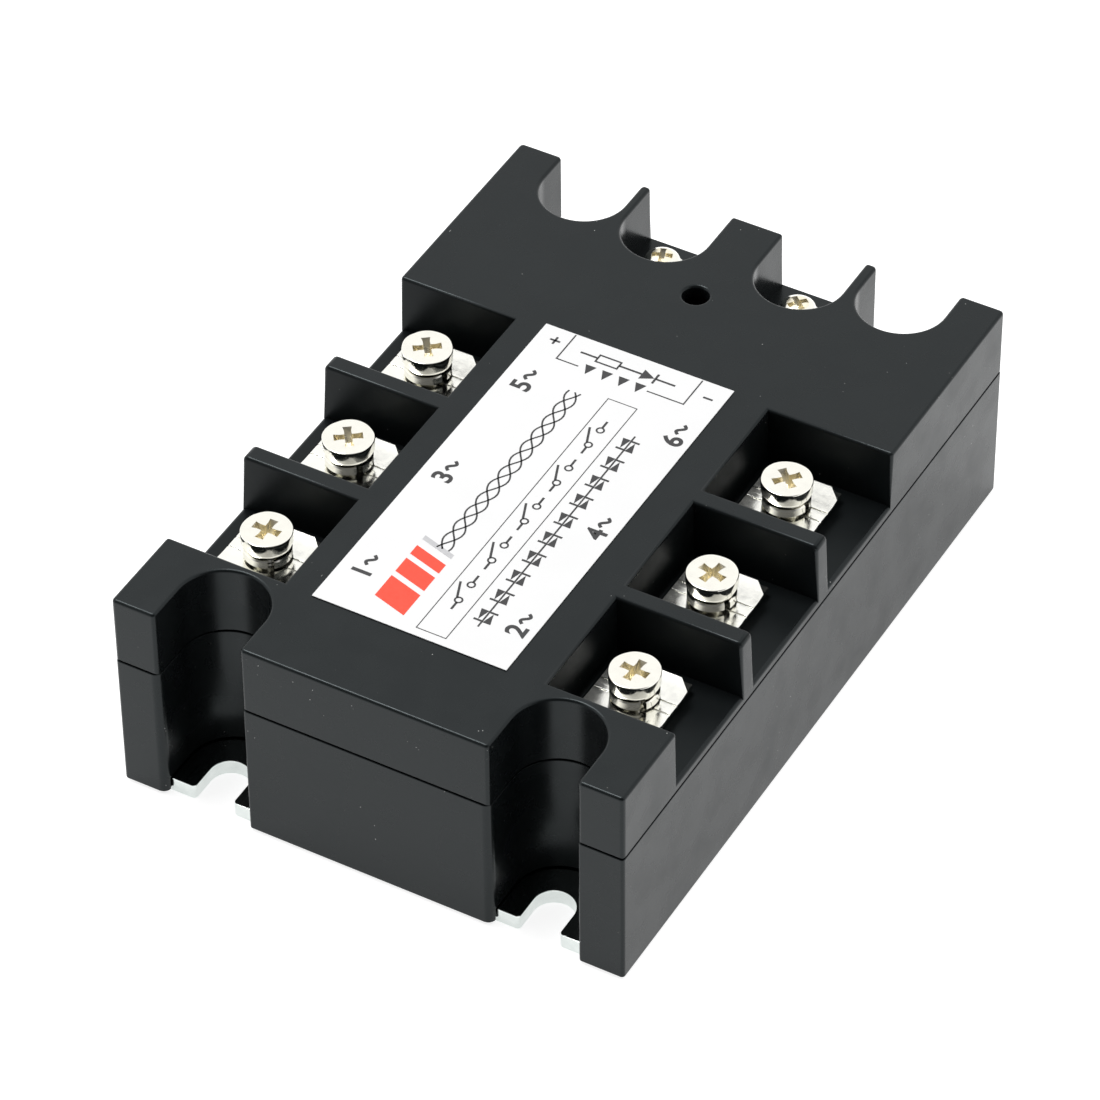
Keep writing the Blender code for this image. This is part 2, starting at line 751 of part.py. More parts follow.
def make_gate_resistors():
    """Axial resistors that lie along Y, with their leads bent down to the board."""
    middle_z = BOARD_TOP + FIT + RESISTOR_RISE
    lead_y = RESISTOR_LENGTH / 2 + LEAD_REACH
    leads = [
        (0.0, -lead_y, BOARD_TOP + FIT),
        (0.0, -lead_y, middle_z),
        (0.0, lead_y, middle_z),
        (0.0, lead_y, BOARD_TOP + FIT),
    ]
    lead = tube("resistor_leads", leads, LEAD_RADIUS)
    half = RESISTOR_LENGTH / 2
    end_radius = 0.7 * RESISTOR_RADIUS
    waist_radius = 0.85 * RESISTOR_RADIUS
    upper = [
        (0.0, half),
        (end_radius, half),
        (RESISTOR_RADIUS, half - 0.3 * RESISTOR_CAP),
        (RESISTOR_RADIUS, half - 0.75 * RESISTOR_CAP),
        (waist_radius, half - RESISTOR_CAP),
    ]
    profile = upper + [(radius, -z) for radius, z in reversed(upper)]
    body = turned("resistor_body_shape", profile, sides=16)
    body.rotation_euler.x = math.radians(90)
    body.location.z = middle_z
    combine(lead, [body], "UNION")
    places = [(number, 0, RESISTOR_X, y) for number, y in phase_middles()]
    make_repeated(lead, places, "gate_resistor", "resistor_body")


def make_indicator():
    """A 3 mm lamp under the hole in the cover, on two leads from the board."""
    low, high = INDICATOR_Z
    radius = INDICATOR_RADIUS
    dome = [
        (radius * math.cos(a), high - radius + radius * math.sin(a))
        for a in [math.radians(90 - 90 * step / DOME_STEPS) for step in range(DOME_STEPS + 1)]
    ]
    profile = [(0.0, dome[0][1])] + dome[1:] + [(radius, low), (0.0, low)]
    lens = turned("indicator_led", profile, RELAY)
    finish_piece(lens, "red_lens")
    lens.location = (INDICATOR_X, INDICATOR_Y, 0.0)
    leads = []
    for side in (-1, 1):
        x = INDICATOR_X + side * INDICATOR_LEAD_X
        start = (x - LEAD_RADIUS, INDICATOR_Y - LEAD_RADIUS, BOARD_TOP + FIT)
        end = (x + LEAD_RADIUS, INDICATOR_Y + LEAD_RADIUS, low + LEAD_OVERLAP)
        leads.append(box(f"indicator_lead_{side}", start, end))
    combine(lens, leads, "UNION")


def make_input_terminals():
    """Small straps with a threaded bush, soldered to the board."""
    near, far = INPUT_TONGUE_Y
    low = INPUT_FLOOR_Z + FIT
    top = low + INPUT_STRAP
    half = INPUT_TONGUE_WIDTH / 2
    riser_half = INPUT_RISER_WIDTH / 2
    foot_z = BOARD_TOP + FIT
    bush_radius, bush_depth = INPUT_BUSH
    tongue = box("input_tongue", (-half, near - INPUT_Y, low), (half, far - INPUT_Y, top))
    riser = box(
        "input_riser",
        (-riser_half, near - INPUT_Y, foot_z),
        (riser_half, near - INPUT_Y + INPUT_STRAP, top),
    )
    foot = box(
        "input_foot",
        (-riser_half, near - INPUT_Y - INPUT_FOOT_LENGTH, foot_z),
        (riser_half, near - INPUT_Y + INPUT_STRAP, foot_z + INPUT_STRAP),
    )
    bush = cylinder("input_bush", (0.0, 0.0), bush_radius, low - bush_depth, low + INPUT_STRAP / 2)
    combine(tongue, [riser, foot, bush], "UNION")
    bore = cylinder("input_bore", (0.0, 0.0), INPUT_BORE, low - bush_depth - REACH, top + REACH)
    combine(tongue, [bore], "DIFFERENCE")
    tongue.hide_render = True
    mesh = baked(tongue)
    offset = tongue.location.copy()
    for number, _, x, y in input_places():
        place(f"input_terminal_{number}", mesh, "nickel", (x, y + offset.y, offset.z))


def make_input_screws():
    helper = screw_helper(
        "input_screw_shape",
        INPUT_HEAD,
        INPUT_HEAD_Z,
        INPUT_HEAD_HEIGHT,
        INPUT_SHANK,
        INPUT_LENGTH,
        INPUT_RECESS,
    )
    make_repeated(helper, input_places(), "input_screw", "nickel")
    low = INPUT_WASHER_Z
    high = INPUT_WASHER_Z + INPUT_WASHER_HEIGHT
    washer = ring_helper("input_washer_shape", INPUT_BORE, INPUT_WASHER_RADIUS, low, high)
    make_repeated(washer, input_places(), "input_washer", "nickel")


make_base_plate()
make_lower_case()
make_top_cover()
make_label()
make_substrates()
make_thyristors()
make_power_terminals()
make_potting()
make_control_board()
make_drivers()
make_gate_resistors()
make_indicator()
make_input_terminals()
make_nuts()
make_square_washers()
make_lock_washers()
make_power_screws()
make_input_screws()
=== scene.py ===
"""Looks of the three-phase solid state relay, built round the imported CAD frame.

The rounded housing shells, the base plate, the printed label, the threaded screws, the washers and the
terminal straps are new pieces that stand for CAD nodes. The electronics inside keep their CAD shapes
and get better materials. Lengths are in metres, in the frame of the CAD: +X right across the width,
+Y along the length towards the two input terminals, +Z up out of the label.
"""

import math

import bmesh
import bpy
from mathutils import Matrix, Vector, noise


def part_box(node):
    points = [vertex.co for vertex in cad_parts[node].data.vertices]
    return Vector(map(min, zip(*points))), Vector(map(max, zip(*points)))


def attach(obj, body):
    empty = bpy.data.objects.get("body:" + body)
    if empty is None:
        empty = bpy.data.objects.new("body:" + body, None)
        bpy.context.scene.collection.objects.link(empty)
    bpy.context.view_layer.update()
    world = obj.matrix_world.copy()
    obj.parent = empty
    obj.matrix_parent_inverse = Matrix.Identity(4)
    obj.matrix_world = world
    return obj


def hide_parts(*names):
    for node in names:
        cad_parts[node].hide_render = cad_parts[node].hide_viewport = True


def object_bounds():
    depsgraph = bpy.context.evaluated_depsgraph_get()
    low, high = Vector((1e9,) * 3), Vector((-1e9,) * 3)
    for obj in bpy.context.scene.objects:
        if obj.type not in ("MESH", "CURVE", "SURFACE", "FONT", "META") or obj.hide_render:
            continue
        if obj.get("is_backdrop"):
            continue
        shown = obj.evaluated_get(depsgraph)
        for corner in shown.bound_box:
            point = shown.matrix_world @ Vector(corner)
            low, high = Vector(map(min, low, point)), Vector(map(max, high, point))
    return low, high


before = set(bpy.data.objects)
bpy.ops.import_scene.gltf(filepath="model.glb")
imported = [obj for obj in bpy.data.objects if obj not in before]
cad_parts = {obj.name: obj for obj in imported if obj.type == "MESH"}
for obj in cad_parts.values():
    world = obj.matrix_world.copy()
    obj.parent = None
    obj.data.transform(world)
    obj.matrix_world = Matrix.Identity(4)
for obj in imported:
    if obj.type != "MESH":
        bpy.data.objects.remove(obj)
CAD_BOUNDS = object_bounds()
MM = 0.001

# Boxes of the CAD nodes that the new pieces stand for.
_, COVER_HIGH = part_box("top_cover")
CASE_LOW, CASE_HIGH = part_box("lower_case")
PLATE_LOW, PLATE_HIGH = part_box("base_plate")
LABEL_LOW, LABEL_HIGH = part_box("label")
WIDTH = CASE_HIGH.x - CASE_LOW.x
LENGTH = CASE_HIGH.y - CASE_LOW.y
ROOF_Z = COVER_HIGH.z

# Housing shells.
SEAM_GAP = 0.3 * MM
CASE_WALL = 2.2 * MM
COVER_WALL = 1.6 * MM
COVER_ROOF = 1.8 * MM
FIT = 0.3 * MM
NOTCH_X = 24.25 * MM
NOTCH_RADIUS = 6.25 * MM
NOTCH_ARC_Y = (-46.5 * MM, 47.55 * MM)
NOTCH_WALL = 1.5 * MM
COVER_CORNER = 0.60 * MM  # radius of the cover's upright edges
CASE_CORNER = 0.5 * MM
CASE_MOUTHS = (1.2 * MM, 0.4 * MM)  # radii at the left and right edge of each notch's mouth
TOP_EDGE = 0.46 * MM
SEAM_EDGE = 0.12 * MM
CASE_FOOT_EDGE = 0.3 * MM
SPINE_X = (-19.4 * MM, 18.8 * MM)
BAYS_Y = (-39.0 * MM, 19.6 * MM)
PHASES = 3
BARRIER = 2.8 * MM
BARRIER_INSET = 0.3 * MM
BARRIER_ROUND = 0.8 * MM  # radius of the top outer corner of each barrier
BAY_LENGTH = (BAYS_Y[1] - BAYS_Y[0] - (PHASES - 1) * BARRIER) / PHASES
FLOOR_Z = 23.0 * MM
BAY_FILLET = 0.45 * MM
BAY_LIP = 0.5 * MM  # radius of the floor's outer edge
INPUT_NOTCH_X = (-10.35 * MM, 10.05 * MM)
INPUT_NOTCH_RADIUS = 6.3 * MM
INPUT_NOTCH_ARC_Y = 45.45 * MM
INPUT_FLOOR_Z = 23.1 * MM
INDICATOR_HOLE = 1.8 * MM
REACH = 1.0 * MM  # how far a cutter stands past what it cuts
TOUCH = 0.01 * MM  # faces nearer than this count as one
NEAR_WALL = 0.05 * MM  # points nearer than this count as on a wall

# Base plate.
PLATE_SLOT_X = 24.1 * MM
PLATE_SLOT_RADIUS = 2.85 * MM
PLATE_SLOT_ARC_Y = (-47.4 * MM, 47.4 * MM)
PLATE_CORNER = 0.6 * MM
PLATE_EDGE = 0.16 * MM

# Power terminals.
STRAP = 1.0 * MM
TONGUE_WIDTH = 12.0 * MM
RISER_WIDTH = 8.0 * MM
STRAP_BEND = 0.9 * MM
STRAP_EDGE = 0.1 * MM
STRAP_SHOULDER = 1.4 * MM  # length of the narrow part past the riser
SIDE_CUT_REACH = 8.0 * MM
SIDE_CUT_GAP = 0.2 * MM
RISER_FROM_SCREW = 6.2 * MM
NUT_SIDE = 7.0 * MM
NUT_BOSS_WALL = 1.2 * MM
NUT_BOSS_FLOOR = 0.7 * MM
TIP_HOLE = 2.5 * MM
SCREW_BORE = 2.1 * MM
GROOVE_Y = 0.95 * MM
GROOVE_WIDTH = 0.24 * MM
GROOVE_DEPTH = 0.14 * MM
WASHER_CORNER = 1.7 * MM
WASHER_ROUND = 0.35 * MM  # radius in plan of the washer's corners
WASHER_EDGE = 0.07 * MM
WASHER_CUP = 0.42 * MM  # how far the square washer's near and far edges bend up
WASHER_FLAT = 0.3  # part of the way to those edges that stays flat
CUP_CUTS = 14
SPLIT_GAP = 16.0  # degrees of the ring that the split takes
SPLIT_STEPS = 72
SPLIT_CHAMFER = 0.14 * MM
SPLIT_RISE = 0.18 * MM
SPLIT_DROP = 0.34 * MM  # how far the split washer sinks into the cupped washer

# Input terminals.
INPUT_STRAP = 0.8 * MM
INPUT_BEND = 0.5 * MM
INPUT_TONGUE = 7.4 * MM
INPUT_RISER_WIDTH = 4.0 * MM
INPUT_SHOULDER = 1.2 * MM
INPUT_SIDE_CUT_GAP = 0.1 * MM
INPUT_BORE = 1.55 * MM
INPUT_WASHER_EDGE = 0.12 * MM
BUSH_RADIUS = 2.7 * MM
BUSH_DEPTH = 2.0 * MM

# Screws: pitch, root and crest radius of each thread, and the sizes of its cross recess.
POWER_THREAD = (0.7 * MM, 1.58 * MM, 1.93 * MM)
INPUT_THREAD = (0.5 * MM, 1.16 * MM, 1.42 * MM)
POWER_RECESS = (1.95 * MM, 1.7 * MM)  # reach from the axis, and depth
INPUT_RECESS = (1.5 * MM, 1.2 * MM)
POWER_RECESS_TURN = (0.0, -4.0, 36.0, -14.0, 37.0, 48.0)  # degrees, by terminal number
INPUT_RECESS_TURN = (20.0, 50.0)
THREAD_ROWS = 8  # rows of points for each turn of a thread
TURN_SIDES = 64
TIP_TAPER = 0.6 * MM
HEAD_EDGE = 0.18 * MM
HEAD_SIDE = ((0.06, 1.0), (0.30, 0.35), (0.62, 0.0))  # inset and height of the rim's foot, in mm
RECESS_ROWS = ((-0.15, 1.05, 1.05), (0.0, 1.0, 1.0), (0.5, 0.74, 0.9), (1.0, 0.36, 0.6))

# Print on the label.
INK_HEIGHT = 0.02 * MM
LABEL_EDGE = 0.04 * MM
FINE, THIN, MEDIUM, BOLD = 0.13, 0.24, 0.32, 0.46  # widths of the lines, in millimetres
FRAME_LINE = 0.2
RESISTOR_LINE = 0.26
SHARPEST_MITRE = 0.3
READING = 90.0  # the print reads along +Y

# Camera, stage and light.
CAMERA_AZIMUTH = math.radians(29.8628)
CAMERA_ELEVATION = math.radians(42.7017)
CAMERA_ROLL = math.radians(-0.6618)
CAMERA_DISTANCE = 0.78002
CAMERA_AIM = Vector((-0.0030114, -0.0000923, 0.0134))
CAMERA_LENS = 193.415
CAMERA_SENSOR = 36
CAMERA_CLIP = 0.05
STAGE_HALF = 3.0
STAGE_DROP = 0.02 * MM
STAGE_TONE = 0.5
STAGE_GLOW = 0.82
TENT_OPENING = Vector((0.35, -0.85, 0.40))
TENT_EDGE = (0.45, 0.75)  # cosine of the angle from the opening where the dark starts and is full
TENT_DARK = 0.12
TENT_STRENGTH = 1.15
LAMP_SIZE = 0.5
LAMP_ENERGY = 7.5
LAMP_PLACE = Vector((-0.43, 0.06, 1.12))


# ---- Shape helpers ----


def node_box(node):
    """The low and high corners of a CAD node's box, and its middle."""
    low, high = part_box(node)
    return low, high, (low + high) / 2


def link_object(name, mesh):
    obj = bpy.data.objects.new(name, mesh)
    bpy.context.scene.collection.objects.link(obj)
    return obj


def object_from(name, shape):
    mesh = bpy.data.meshes.new(name)
    shape.to_mesh(mesh)
    shape.free()
    return link_object(name, mesh)


def closed_object(name, shape):
    """An object of the shape, with its faces turned outwards."""
    bmesh.ops.recalc_face_normals(shape, faces=shape.faces)
    return object_from(name, shape)


def skin(shape, rings, capped=True):
    """Faces from each ring of points to the next, with caps on the first and the last."""
    faces = []
    for first, second in zip(rings, rings[1:]):
        for index in range(len(first)):
            after = (index + 1) % len(first)
            corners = (first[index], first[after], second[after], second[index])
            faces.append(shape.faces.new(corners))
    if capped:
        faces += [shape.faces.new(rings[0]), shape.faces.new(rings[-1])]
    return faces


def baked(obj):
    """The object with its modifiers applied."""
    bpy.context.view_layer.update()
    graph = bpy.context.evaluated_depsgraph_get()
    mesh = bpy.data.meshes.new_from_object(obj.evaluated_get(graph))
    old = obj.data
    obj.modifiers.clear()
    obj.data = mesh
    bpy.data.meshes.remove(old)
    mesh.name = obj.name
    return obj


def prism(name, points, low, high):
    """A closed outline in X and Y, extruded from z = low to z = high."""
    shape = bmesh.new()
    bottom = [shape.verts.new((x, y, low)) for x, y in points]
    top = [shape.verts.new((x, y, high)) for x, y in points]
    shape.faces.new(bottom)
    shape.faces.new(top)
    for index in range(len(points)):
        after = (index + 1) % len(points)
        shape.faces.new((bottom[index], bottom[after], top[after], top[index]))
    return closed_object(name, shape)


def prism_along_y(name, points, low, high):
    """A closed outline in X and Z, extruded from y = low to y = high."""
    obj = prism(name, points, low, high)
    obj.data.transform(Matrix(((1, 0, 0, 0), (0, 0, 1, 0), (0, 1, 0, 0), (0, 0, 0, 1))))
    obj.data.flip_normals()
    return obj


def box(name, low, high):
    corners = [(low[0], low[1]), (high[0], low[1]), (high[0], high[1]), (low[0], high[1])]
    return prism(name, corners, low[2], high[2])


def cylinder(name, middle, radius, low, high, sides=48):
    return prism(name, arc(middle, radius, 0, 360 - 360 / sides, sides - 1), low, high)


def turned(name, rings, sides=TURN_SIDES):
    """A closed solid of rings round Z, from the top pole down to the bottom pole.

    A ring is (radius, z), and its radius may be a function of the angle."""
    shape = bmesh.new()
    angles = [2 * math.pi * side / sides for side in range(sides)]
    rows = []
    for radius, z in rings:
        if radius == 0.0:
            rows.append([shape.verts.new((0.0, 0.0, z))])
            continue
        reach = radius if callable(radius) else (lambda angle, fixed=radius: fixed)
        row = [
            shape.verts.new((reach(a) * math.cos(a), reach(a) * math.sin(a), z)) for a in angles
        ]
        rows.append(row)
    for upper, lower in zip(rows, rows[1:]):
        for side in range(sides):
            after = (side + 1) % sides
            corners = [upper[side % len(upper)], upper[after % len(upper)]]
            corners += [lower[after % len(lower)], lower[side % len(lower)]]
            shape.faces.new(list(dict.fromkeys(corners)))
    return closed_object(name, shape)


def combine(obj, others, operation):
    """Joins the others to this object, or cuts them from it, and removes them."""
    for other in others:
        boolean = obj.modifiers.new(operation, "BOOLEAN")
        boolean.operation = operation
        boolean.solver = "EXACT"
        boolean.object = other
    baked(obj)
    for other in others:
        bpy.data.objects.remove(other)
    return obj


def arc(middle, radius, start, end, steps=24):
    """Points from one angle to another, in degrees, ends included."""
    angles = [math.radians(start + (end - start) * step / steps) for step in range(steps + 1)]
    return [(middle[0] + radius * math.cos(a), middle[1] + radius * math.sin(a)) for a in angles]


def rounded(points, steps=5):
    """The outline with its corners rounded. Each point is (x, y, radius of the corner)."""
    result = []
    count = len(points)
    for index, (x, y, radius) in enumerate(points):
        if radius == 0.0:
            result.append((x, y))
            continue
        here = Vector((x, y))
        before = (Vector(points[index - 1][:2]) - here).normalized()
        after = (Vector(points[(index + 1) % count][:2]) - here).normalized()
        half = before.angle(after) / 2
        reach = radius / math.tan(half)
        middle = here + (before + after).normalized() * (radius / math.sin(half))
        start = here + before * reach - middle
        turn = start.angle_signed(here + after * reach - middle)
        for step in range(steps + 1):
            spoke = start.copy()
            spoke.rotate(Matrix.Rotation(-turn * step / steps, 2))
            result.append(tuple(middle + spoke))
    return result


def round_edges(obj, radius_of, segments=3):
    """Merges flat faces, then rounds each edge by the radius that radius_of gives for it."""
    shape = bmesh.new()
    shape.from_mesh(obj.data)
    bmesh.ops.remove_doubles(shape, verts=shape.verts, dist=1e-6)
    bmesh.ops.dissolve_limit(
        shape, angle_limit=math.radians(0.6), verts=shape.verts, edges=shape.edges
    )
    widths = {}
    for edge in shape.edges:
        if len(edge.link_faces) == 2 and edge.calc_face_angle() > math.radians(28):
            widths[edge.index] = radius_of(edge)
    widest = max(widths.values())
    weights = shape.edges.layers.float.new("bevel_weight_edge")
    for edge in shape.edges:
        edge[weights] = widths.get(edge.index, 0.0) / widest
    shape.to_mesh(obj.data)
    shape.free()
    bevel = obj.modifiers.new("rounding", "BEVEL")
    bevel.limit_method = "WEIGHT"
    bevel.width = widest
    bevel.segments = segments
    bevel.use_clamp_overlap = False
    baked(obj)
    return shade(obj)


def shade(obj, angle=35):
    """Smooth shading, with every edge above this angle kept sharp."""
    shape = bmesh.new()
    shape.from_mesh(obj.data)
    for face in shape.faces:
        face.smooth = True
    for edge in shape.edges:
        edge.smooth = len(edge.link_faces) == 2 and edge.calc_face_angle() < math.radians(angle)
    shape.to_mesh(obj.data)
    shape.free()
    weighted = obj.modifiers.new("flat faces first", "WEIGHTED_NORMAL")
    weighted.keep_sharp = True
    return baked(obj)


def coat(obj, *materials):
    obj.data.materials.clear()
    for material in materials:
        obj.data.materials.append(material)


def finish_piece(obj, material, body, slot, *nodes):
    """Gives the piece its material and body, and hides the CAD nodes that it stands for."""
    if material:
        coat(obj, material)
    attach(obj, body)
    if nodes:
        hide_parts(*nodes)
    return obj


# ---- Material helpers ----


class Surface:
    """A Principled material, with short calls for the nodes that feed it."""

    def __init__(self, name, color, roughness, metallic=0.0):
        self.material = bpy.data.materials.new(name)
        self.material.use_nodes = True
        self.tree = self.material.node_tree
        self.shader = self.tree.nodes["Principled BSDF"]
        self.set("Base Color", (*color, 1.0))
        self.set("Roughness", roughness)
        self.set("Metallic", metallic)
        self.place = self.node("ShaderNodeTexCoord").outputs["Object"]

    def set(self, socket, value):
        self.shader.inputs[socket].default_value = value

    def node(self, kind, **settings):
        made = self.tree.nodes.new(kind)
        for key, value in settings.items():
            setattr(made, key, value)
        return made

    def join(self, output, socket):
        self.tree.links.new(output, socket)

    def feed(self, output, socket):
        self.join(output, self.shader.inputs[socket])

    def scaled(self, stretch):
        """The surface's coordinates, multiplied along each axis."""
        mapping = self.node("ShaderNodeMapping")
        mapping.inputs["Scale"].default_value = stretch
        self.join(self.place, mapping.inputs["Vector"])
        return mapping.outputs["Vector"]

    def noise(self, size, detail=2.0, stretch=(1.0, 1.0, 1.0)):
        """Noise with features of about this size, in metres."""
        made = self.node("ShaderNodeTexNoise")
        self.join(self.scaled(stretch), made.inputs["Vector"])
        made.inputs["Scale"].default_value = 1.0 / size
        made.inputs["Detail"].default_value = detail
        return made.outputs["Fac"]

    def ramp(self, source, *stops):
        """Maps 0 to 1 through stops of (position, colour or grey)."""
        made = self.node("ShaderNodeValToRGB")
        elements = made.color_ramp.elements
        while len(elements) < len(stops):
            elements.new(0.5)
        for element, (position, value) in zip(elements, stops):
            element.position = position
            color = value if isinstance(value, tuple) else (value, value, value)
            element.color = (*color, 1.0)
        self.join(source, made.inputs["Fac"])
        return made.outputs["Color"]

    def mix(self, factor, first, second):
        made = self.node("ShaderNodeMix", data_type="RGBA")
        self.join(factor, made.inputs["Factor"])
        for value, socket in ((first, made.inputs["A"]), (second, made.inputs["B"])):
            if isinstance(value, tuple):
                socket.default_value = (*value, 1.0)
            else:
                self.join(value, socket)
        return made.outputs["Result"]

    def math(self, operation, first, second):
        made = self.node("ShaderNodeMath", operation=operation)
        for value, socket in zip((first, second), made.inputs):
            if isinstance(value, float):
                socket.default_value = value
            else:
                self.join(value, socket)
        return made.outputs["Value"]

    def bump(self, height, depth, strength=1.0):
        """Adds relief of this depth in metres, on top of any relief so far."""
        made = self.node("ShaderNodeBump")
        made.inputs["Strength"].default_value = strength
        made.inputs["Distance"].default_value = depth
        self.join(height, made.inputs["Height"])
        normal = self.shader.inputs["Normal"]
        if normal.is_linked:
            self.join(normal.links[0].from_socket, made.inputs["Normal"])
        self.join(made.outputs["Normal"], normal)


def make_plastic(name, index, dull):
    """Moulded black plastic: fine grain, slight colour drift, dust specks and short scratches."""
    surface = Surface(name, (0.004, 0.005, 0.0053), 0.28)
    surface.set("IOR", index)
    surface.set("Specular Tint", (0.86, 0.97, 1.0, 1.0))
    drift = surface.noise(14 * MM, 3.0)
    base = surface.mix(drift, (0.0030, 0.0040, 0.0044), (0.0052, 0.0062, 0.0066))
    dust = specks(surface, 1.3 * MM, (1.0, 1.0, 1.0), 0.070, 0.58)
    marks = specks(surface, 1.5 * MM, (1.0, 0.22, 0.6), 0.050, 0.58)
    both = surface.math("MAXIMUM", dust, marks)
    surface.feed(surface.mix(both, base, (0.30, 0.30, 0.29)), "Base Color")
    rub = surface.ramp(surface.noise(6 * MM, 5.0), (0.30, 0.21 + dull), (0.70, 0.33 + dull))
    surface.feed(rub, "Roughness")
    surface.bump(surface.noise(0.9 * MM, 3.0), 0.012 * MM, 0.35)
    surface.bump(surface.noise(0.22 * MM, 2.0), 0.010 * MM, 0.6)
    return surface.material


def specks(surface, spacing, stretch, size, rarity):
    """Small marks about this far apart, kept only in some places."""
    cells = surface.node("ShaderNodeTexVoronoi")
    cells.inputs["Scale"].default_value = 1.0 / spacing
    surface.join(surface.scaled(stretch), cells.inputs["Vector"])
    dot = surface.ramp(cells.outputs["Distance"], (0.75 * size, 1.0), (size, 0.0))
    chosen = surface.ramp(surface.noise(8 * MM, 2.0), (rarity, 0.0), (rarity + 0.05, 1.0))
    return surface.math("MULTIPLY", dot, chosen)


def make_nickel(name, color, roughness, patches=1.6 * MM, waviness=0.03 * MM):
    """Bright nickel plating: slightly warm, with stains and fine handling marks."""
    surface = Surface(name, color, roughness[0], 1.0)
    cloud = surface.noise(patches, 4.0)
    dull = tuple(channel * 0.88 for channel in color)
    surface.feed(surface.mix(cloud, dull, color), "Base Color")
    low, high = roughness
    surface.feed(surface.ramp(surface.noise(0.9 * MM, 4.0), (0.3, low), (0.7, high)), "Roughness")
    surface.bump(surface.noise(1.2 * MM, 3.0), waviness, 0.35)
    surface.bump(surface.noise(0.16 * MM, 2.0), 0.004 * MM, 0.5)
    return surface.material


def make_zinc():
    """Bright zinc plating on the base plate, with faint rolling marks along the length."""
    surface = Surface("bright_zinc", (0.80, 0.84, 0.82), 0.1, 1.0)
    cloud = surface.noise(1.5 * MM, 4.0)
    surface.feed(surface.mix(cloud, (0.64, 0.69, 0.67), (0.80, 0.84, 0.82)), "Base Color")
    marks = surface.noise(0.18 * MM, 2.0, (1.0, 0.03, 1.0))
    surface.feed(surface.ramp(marks, (0.3, 0.07), (0.7, 0.14)), "Roughness")
    surface.bump(marks, 0.002 * MM, 0.3)
    return surface.material


def make_label_paper():
    """White satin film, very slightly wavy over the plastic."""
    surface = Surface("label_film", (0.73, 0.73, 0.73), 0.38)
    tone = surface.mix(surface.noise(9 * MM, 2.0), (0.71, 0.71, 0.71), (0.75, 0.75, 0.75))
    surface.feed(tone, "Base Color")
    surface.bump(surface.noise(6 * MM, 2.0), 0.03 * MM, 0.4)
    return surface.material


def make_ink(name, color):
    """Screen-printed ink, a little uneven in tone."""
    surface = Surface(name, color, 0.4)
    light = tuple(min(1.0, channel * 1.25 + 0.012) for channel in color)
    surface.feed(surface.mix(surface.noise(0.5 * MM, 3.0), color, light), "Base Color")
    surface.feed(surface.ramp(surface.noise(0.3 * MM, 2.0), (0.3, 0.32), (0.7, 0.48)), "Roughness")
    return surface.material


def make_mottled(name, dark, light, size, roughness, metallic=0.0, relief=0.0):
    """A general procedural finish: two tones in patches of this size, uneven gloss, a little relief."""
    surface = Surface(name, light, roughness, metallic)
    surface.feed(surface.mix(surface.noise(size, 3.0), dark, light), "Base Color")
    gloss = surface.noise(size / 2, 3.0)
    surface.feed(
        surface.ramp(gloss, (0.3, 0.85 * roughness), (0.7, min(1.0, 1.2 * roughness))), "Roughness"
    )
    if relief:
        surface.bump(surface.noise(size / 4, 2.0), relief, 0.5)
    return surface.material


def make_board():
    """Green solder mask over a faint weave of glass cloth."""
    surface = Surface("solder_mask", (0.02, 0.14, 0.06), 0.35)
    weave = surface.node("ShaderNodeTexWave", wave_type="BANDS", bands_direction="DIAGONAL")
    weave.inputs["Scale"].default_value = 1.0 / (3.0 * MM)
    surface.join(surface.place, weave.inputs["Vector"])
    tone = surface.mix(weave.outputs["Fac"], (0.014, 0.115, 0.045), (0.022, 0.155, 0.065))
    surface.feed(tone, "Base Color")
    surface.bump(weave.outputs["Fac"], 0.02 * MM, 0.4)
    return surface.material


def make_resistor():
    """Tan lacquer with colour bands along the body, which lies along Y."""
    surface = Surface("banded_lacquer", (0.50, 0.36, 0.19), 0.35)
    split = surface.node("ShaderNodeSeparateXYZ")
    surface.join(surface.place, split.inputs["Vector"])
    wave = surface.math("PINGPONG", split.outputs["Y"], 1.3 * MM)
    band = surface.ramp(surface.math("MULTIPLY", wave, 1.0 / (1.3 * MM)), (0.72, 0.0), (0.78, 1.0))
    surface.feed(surface.mix(band, (0.52, 0.37, 0.20), (0.20, 0.05, 0.02)), "Base Color")
    surface.feed(surface.ramp(surface.noise(1 * MM), (0.3, 0.28), (0.7, 0.42)), "Roughness")
    return surface.material


PLASTIC = make_plastic("moulded_black", 1.34, 0.0)
# A darker copy of the black plastic, with less reflection and duller gloss, for the walls and floors of
# the bays: painted shade for the shade that falls inside them.
SHADED_BAY_PLASTIC = make_plastic("moulded_black_bay_painted_shade", 1.24, 0.12)
NICKEL = make_nickel("bright_nickel", (0.92, 0.905, 0.83), (0.05, 0.16))
SATIN_NICKEL = make_nickel("satin_nickel", (0.95, 0.945, 0.89), (0.10, 0.20), 2.5 * MM, 0.010 * MM)
# A warmer, slightly darker and rougher nickel for the inside of the cross recesses: painted shade and
# painted reflection for the tone that light gives inside them.
RECESS_SHADE_NICKEL = make_nickel("recess_nickel_painted_shade", (0.93, 0.87, 0.70), (0.22, 0.40), 0.5 * MM)
ZINC = make_zinc()
PAPER = make_label_paper()
BLACK_INK = make_ink("black_ink", (0.012, 0.012, 0.013))
RED_INK = make_ink("orange_red_ink", (0.74, 0.040, 0.010))
GREY_INK = make_ink("grey_ink", (0.42, 0.42, 0.43))


# ---- Housing ----


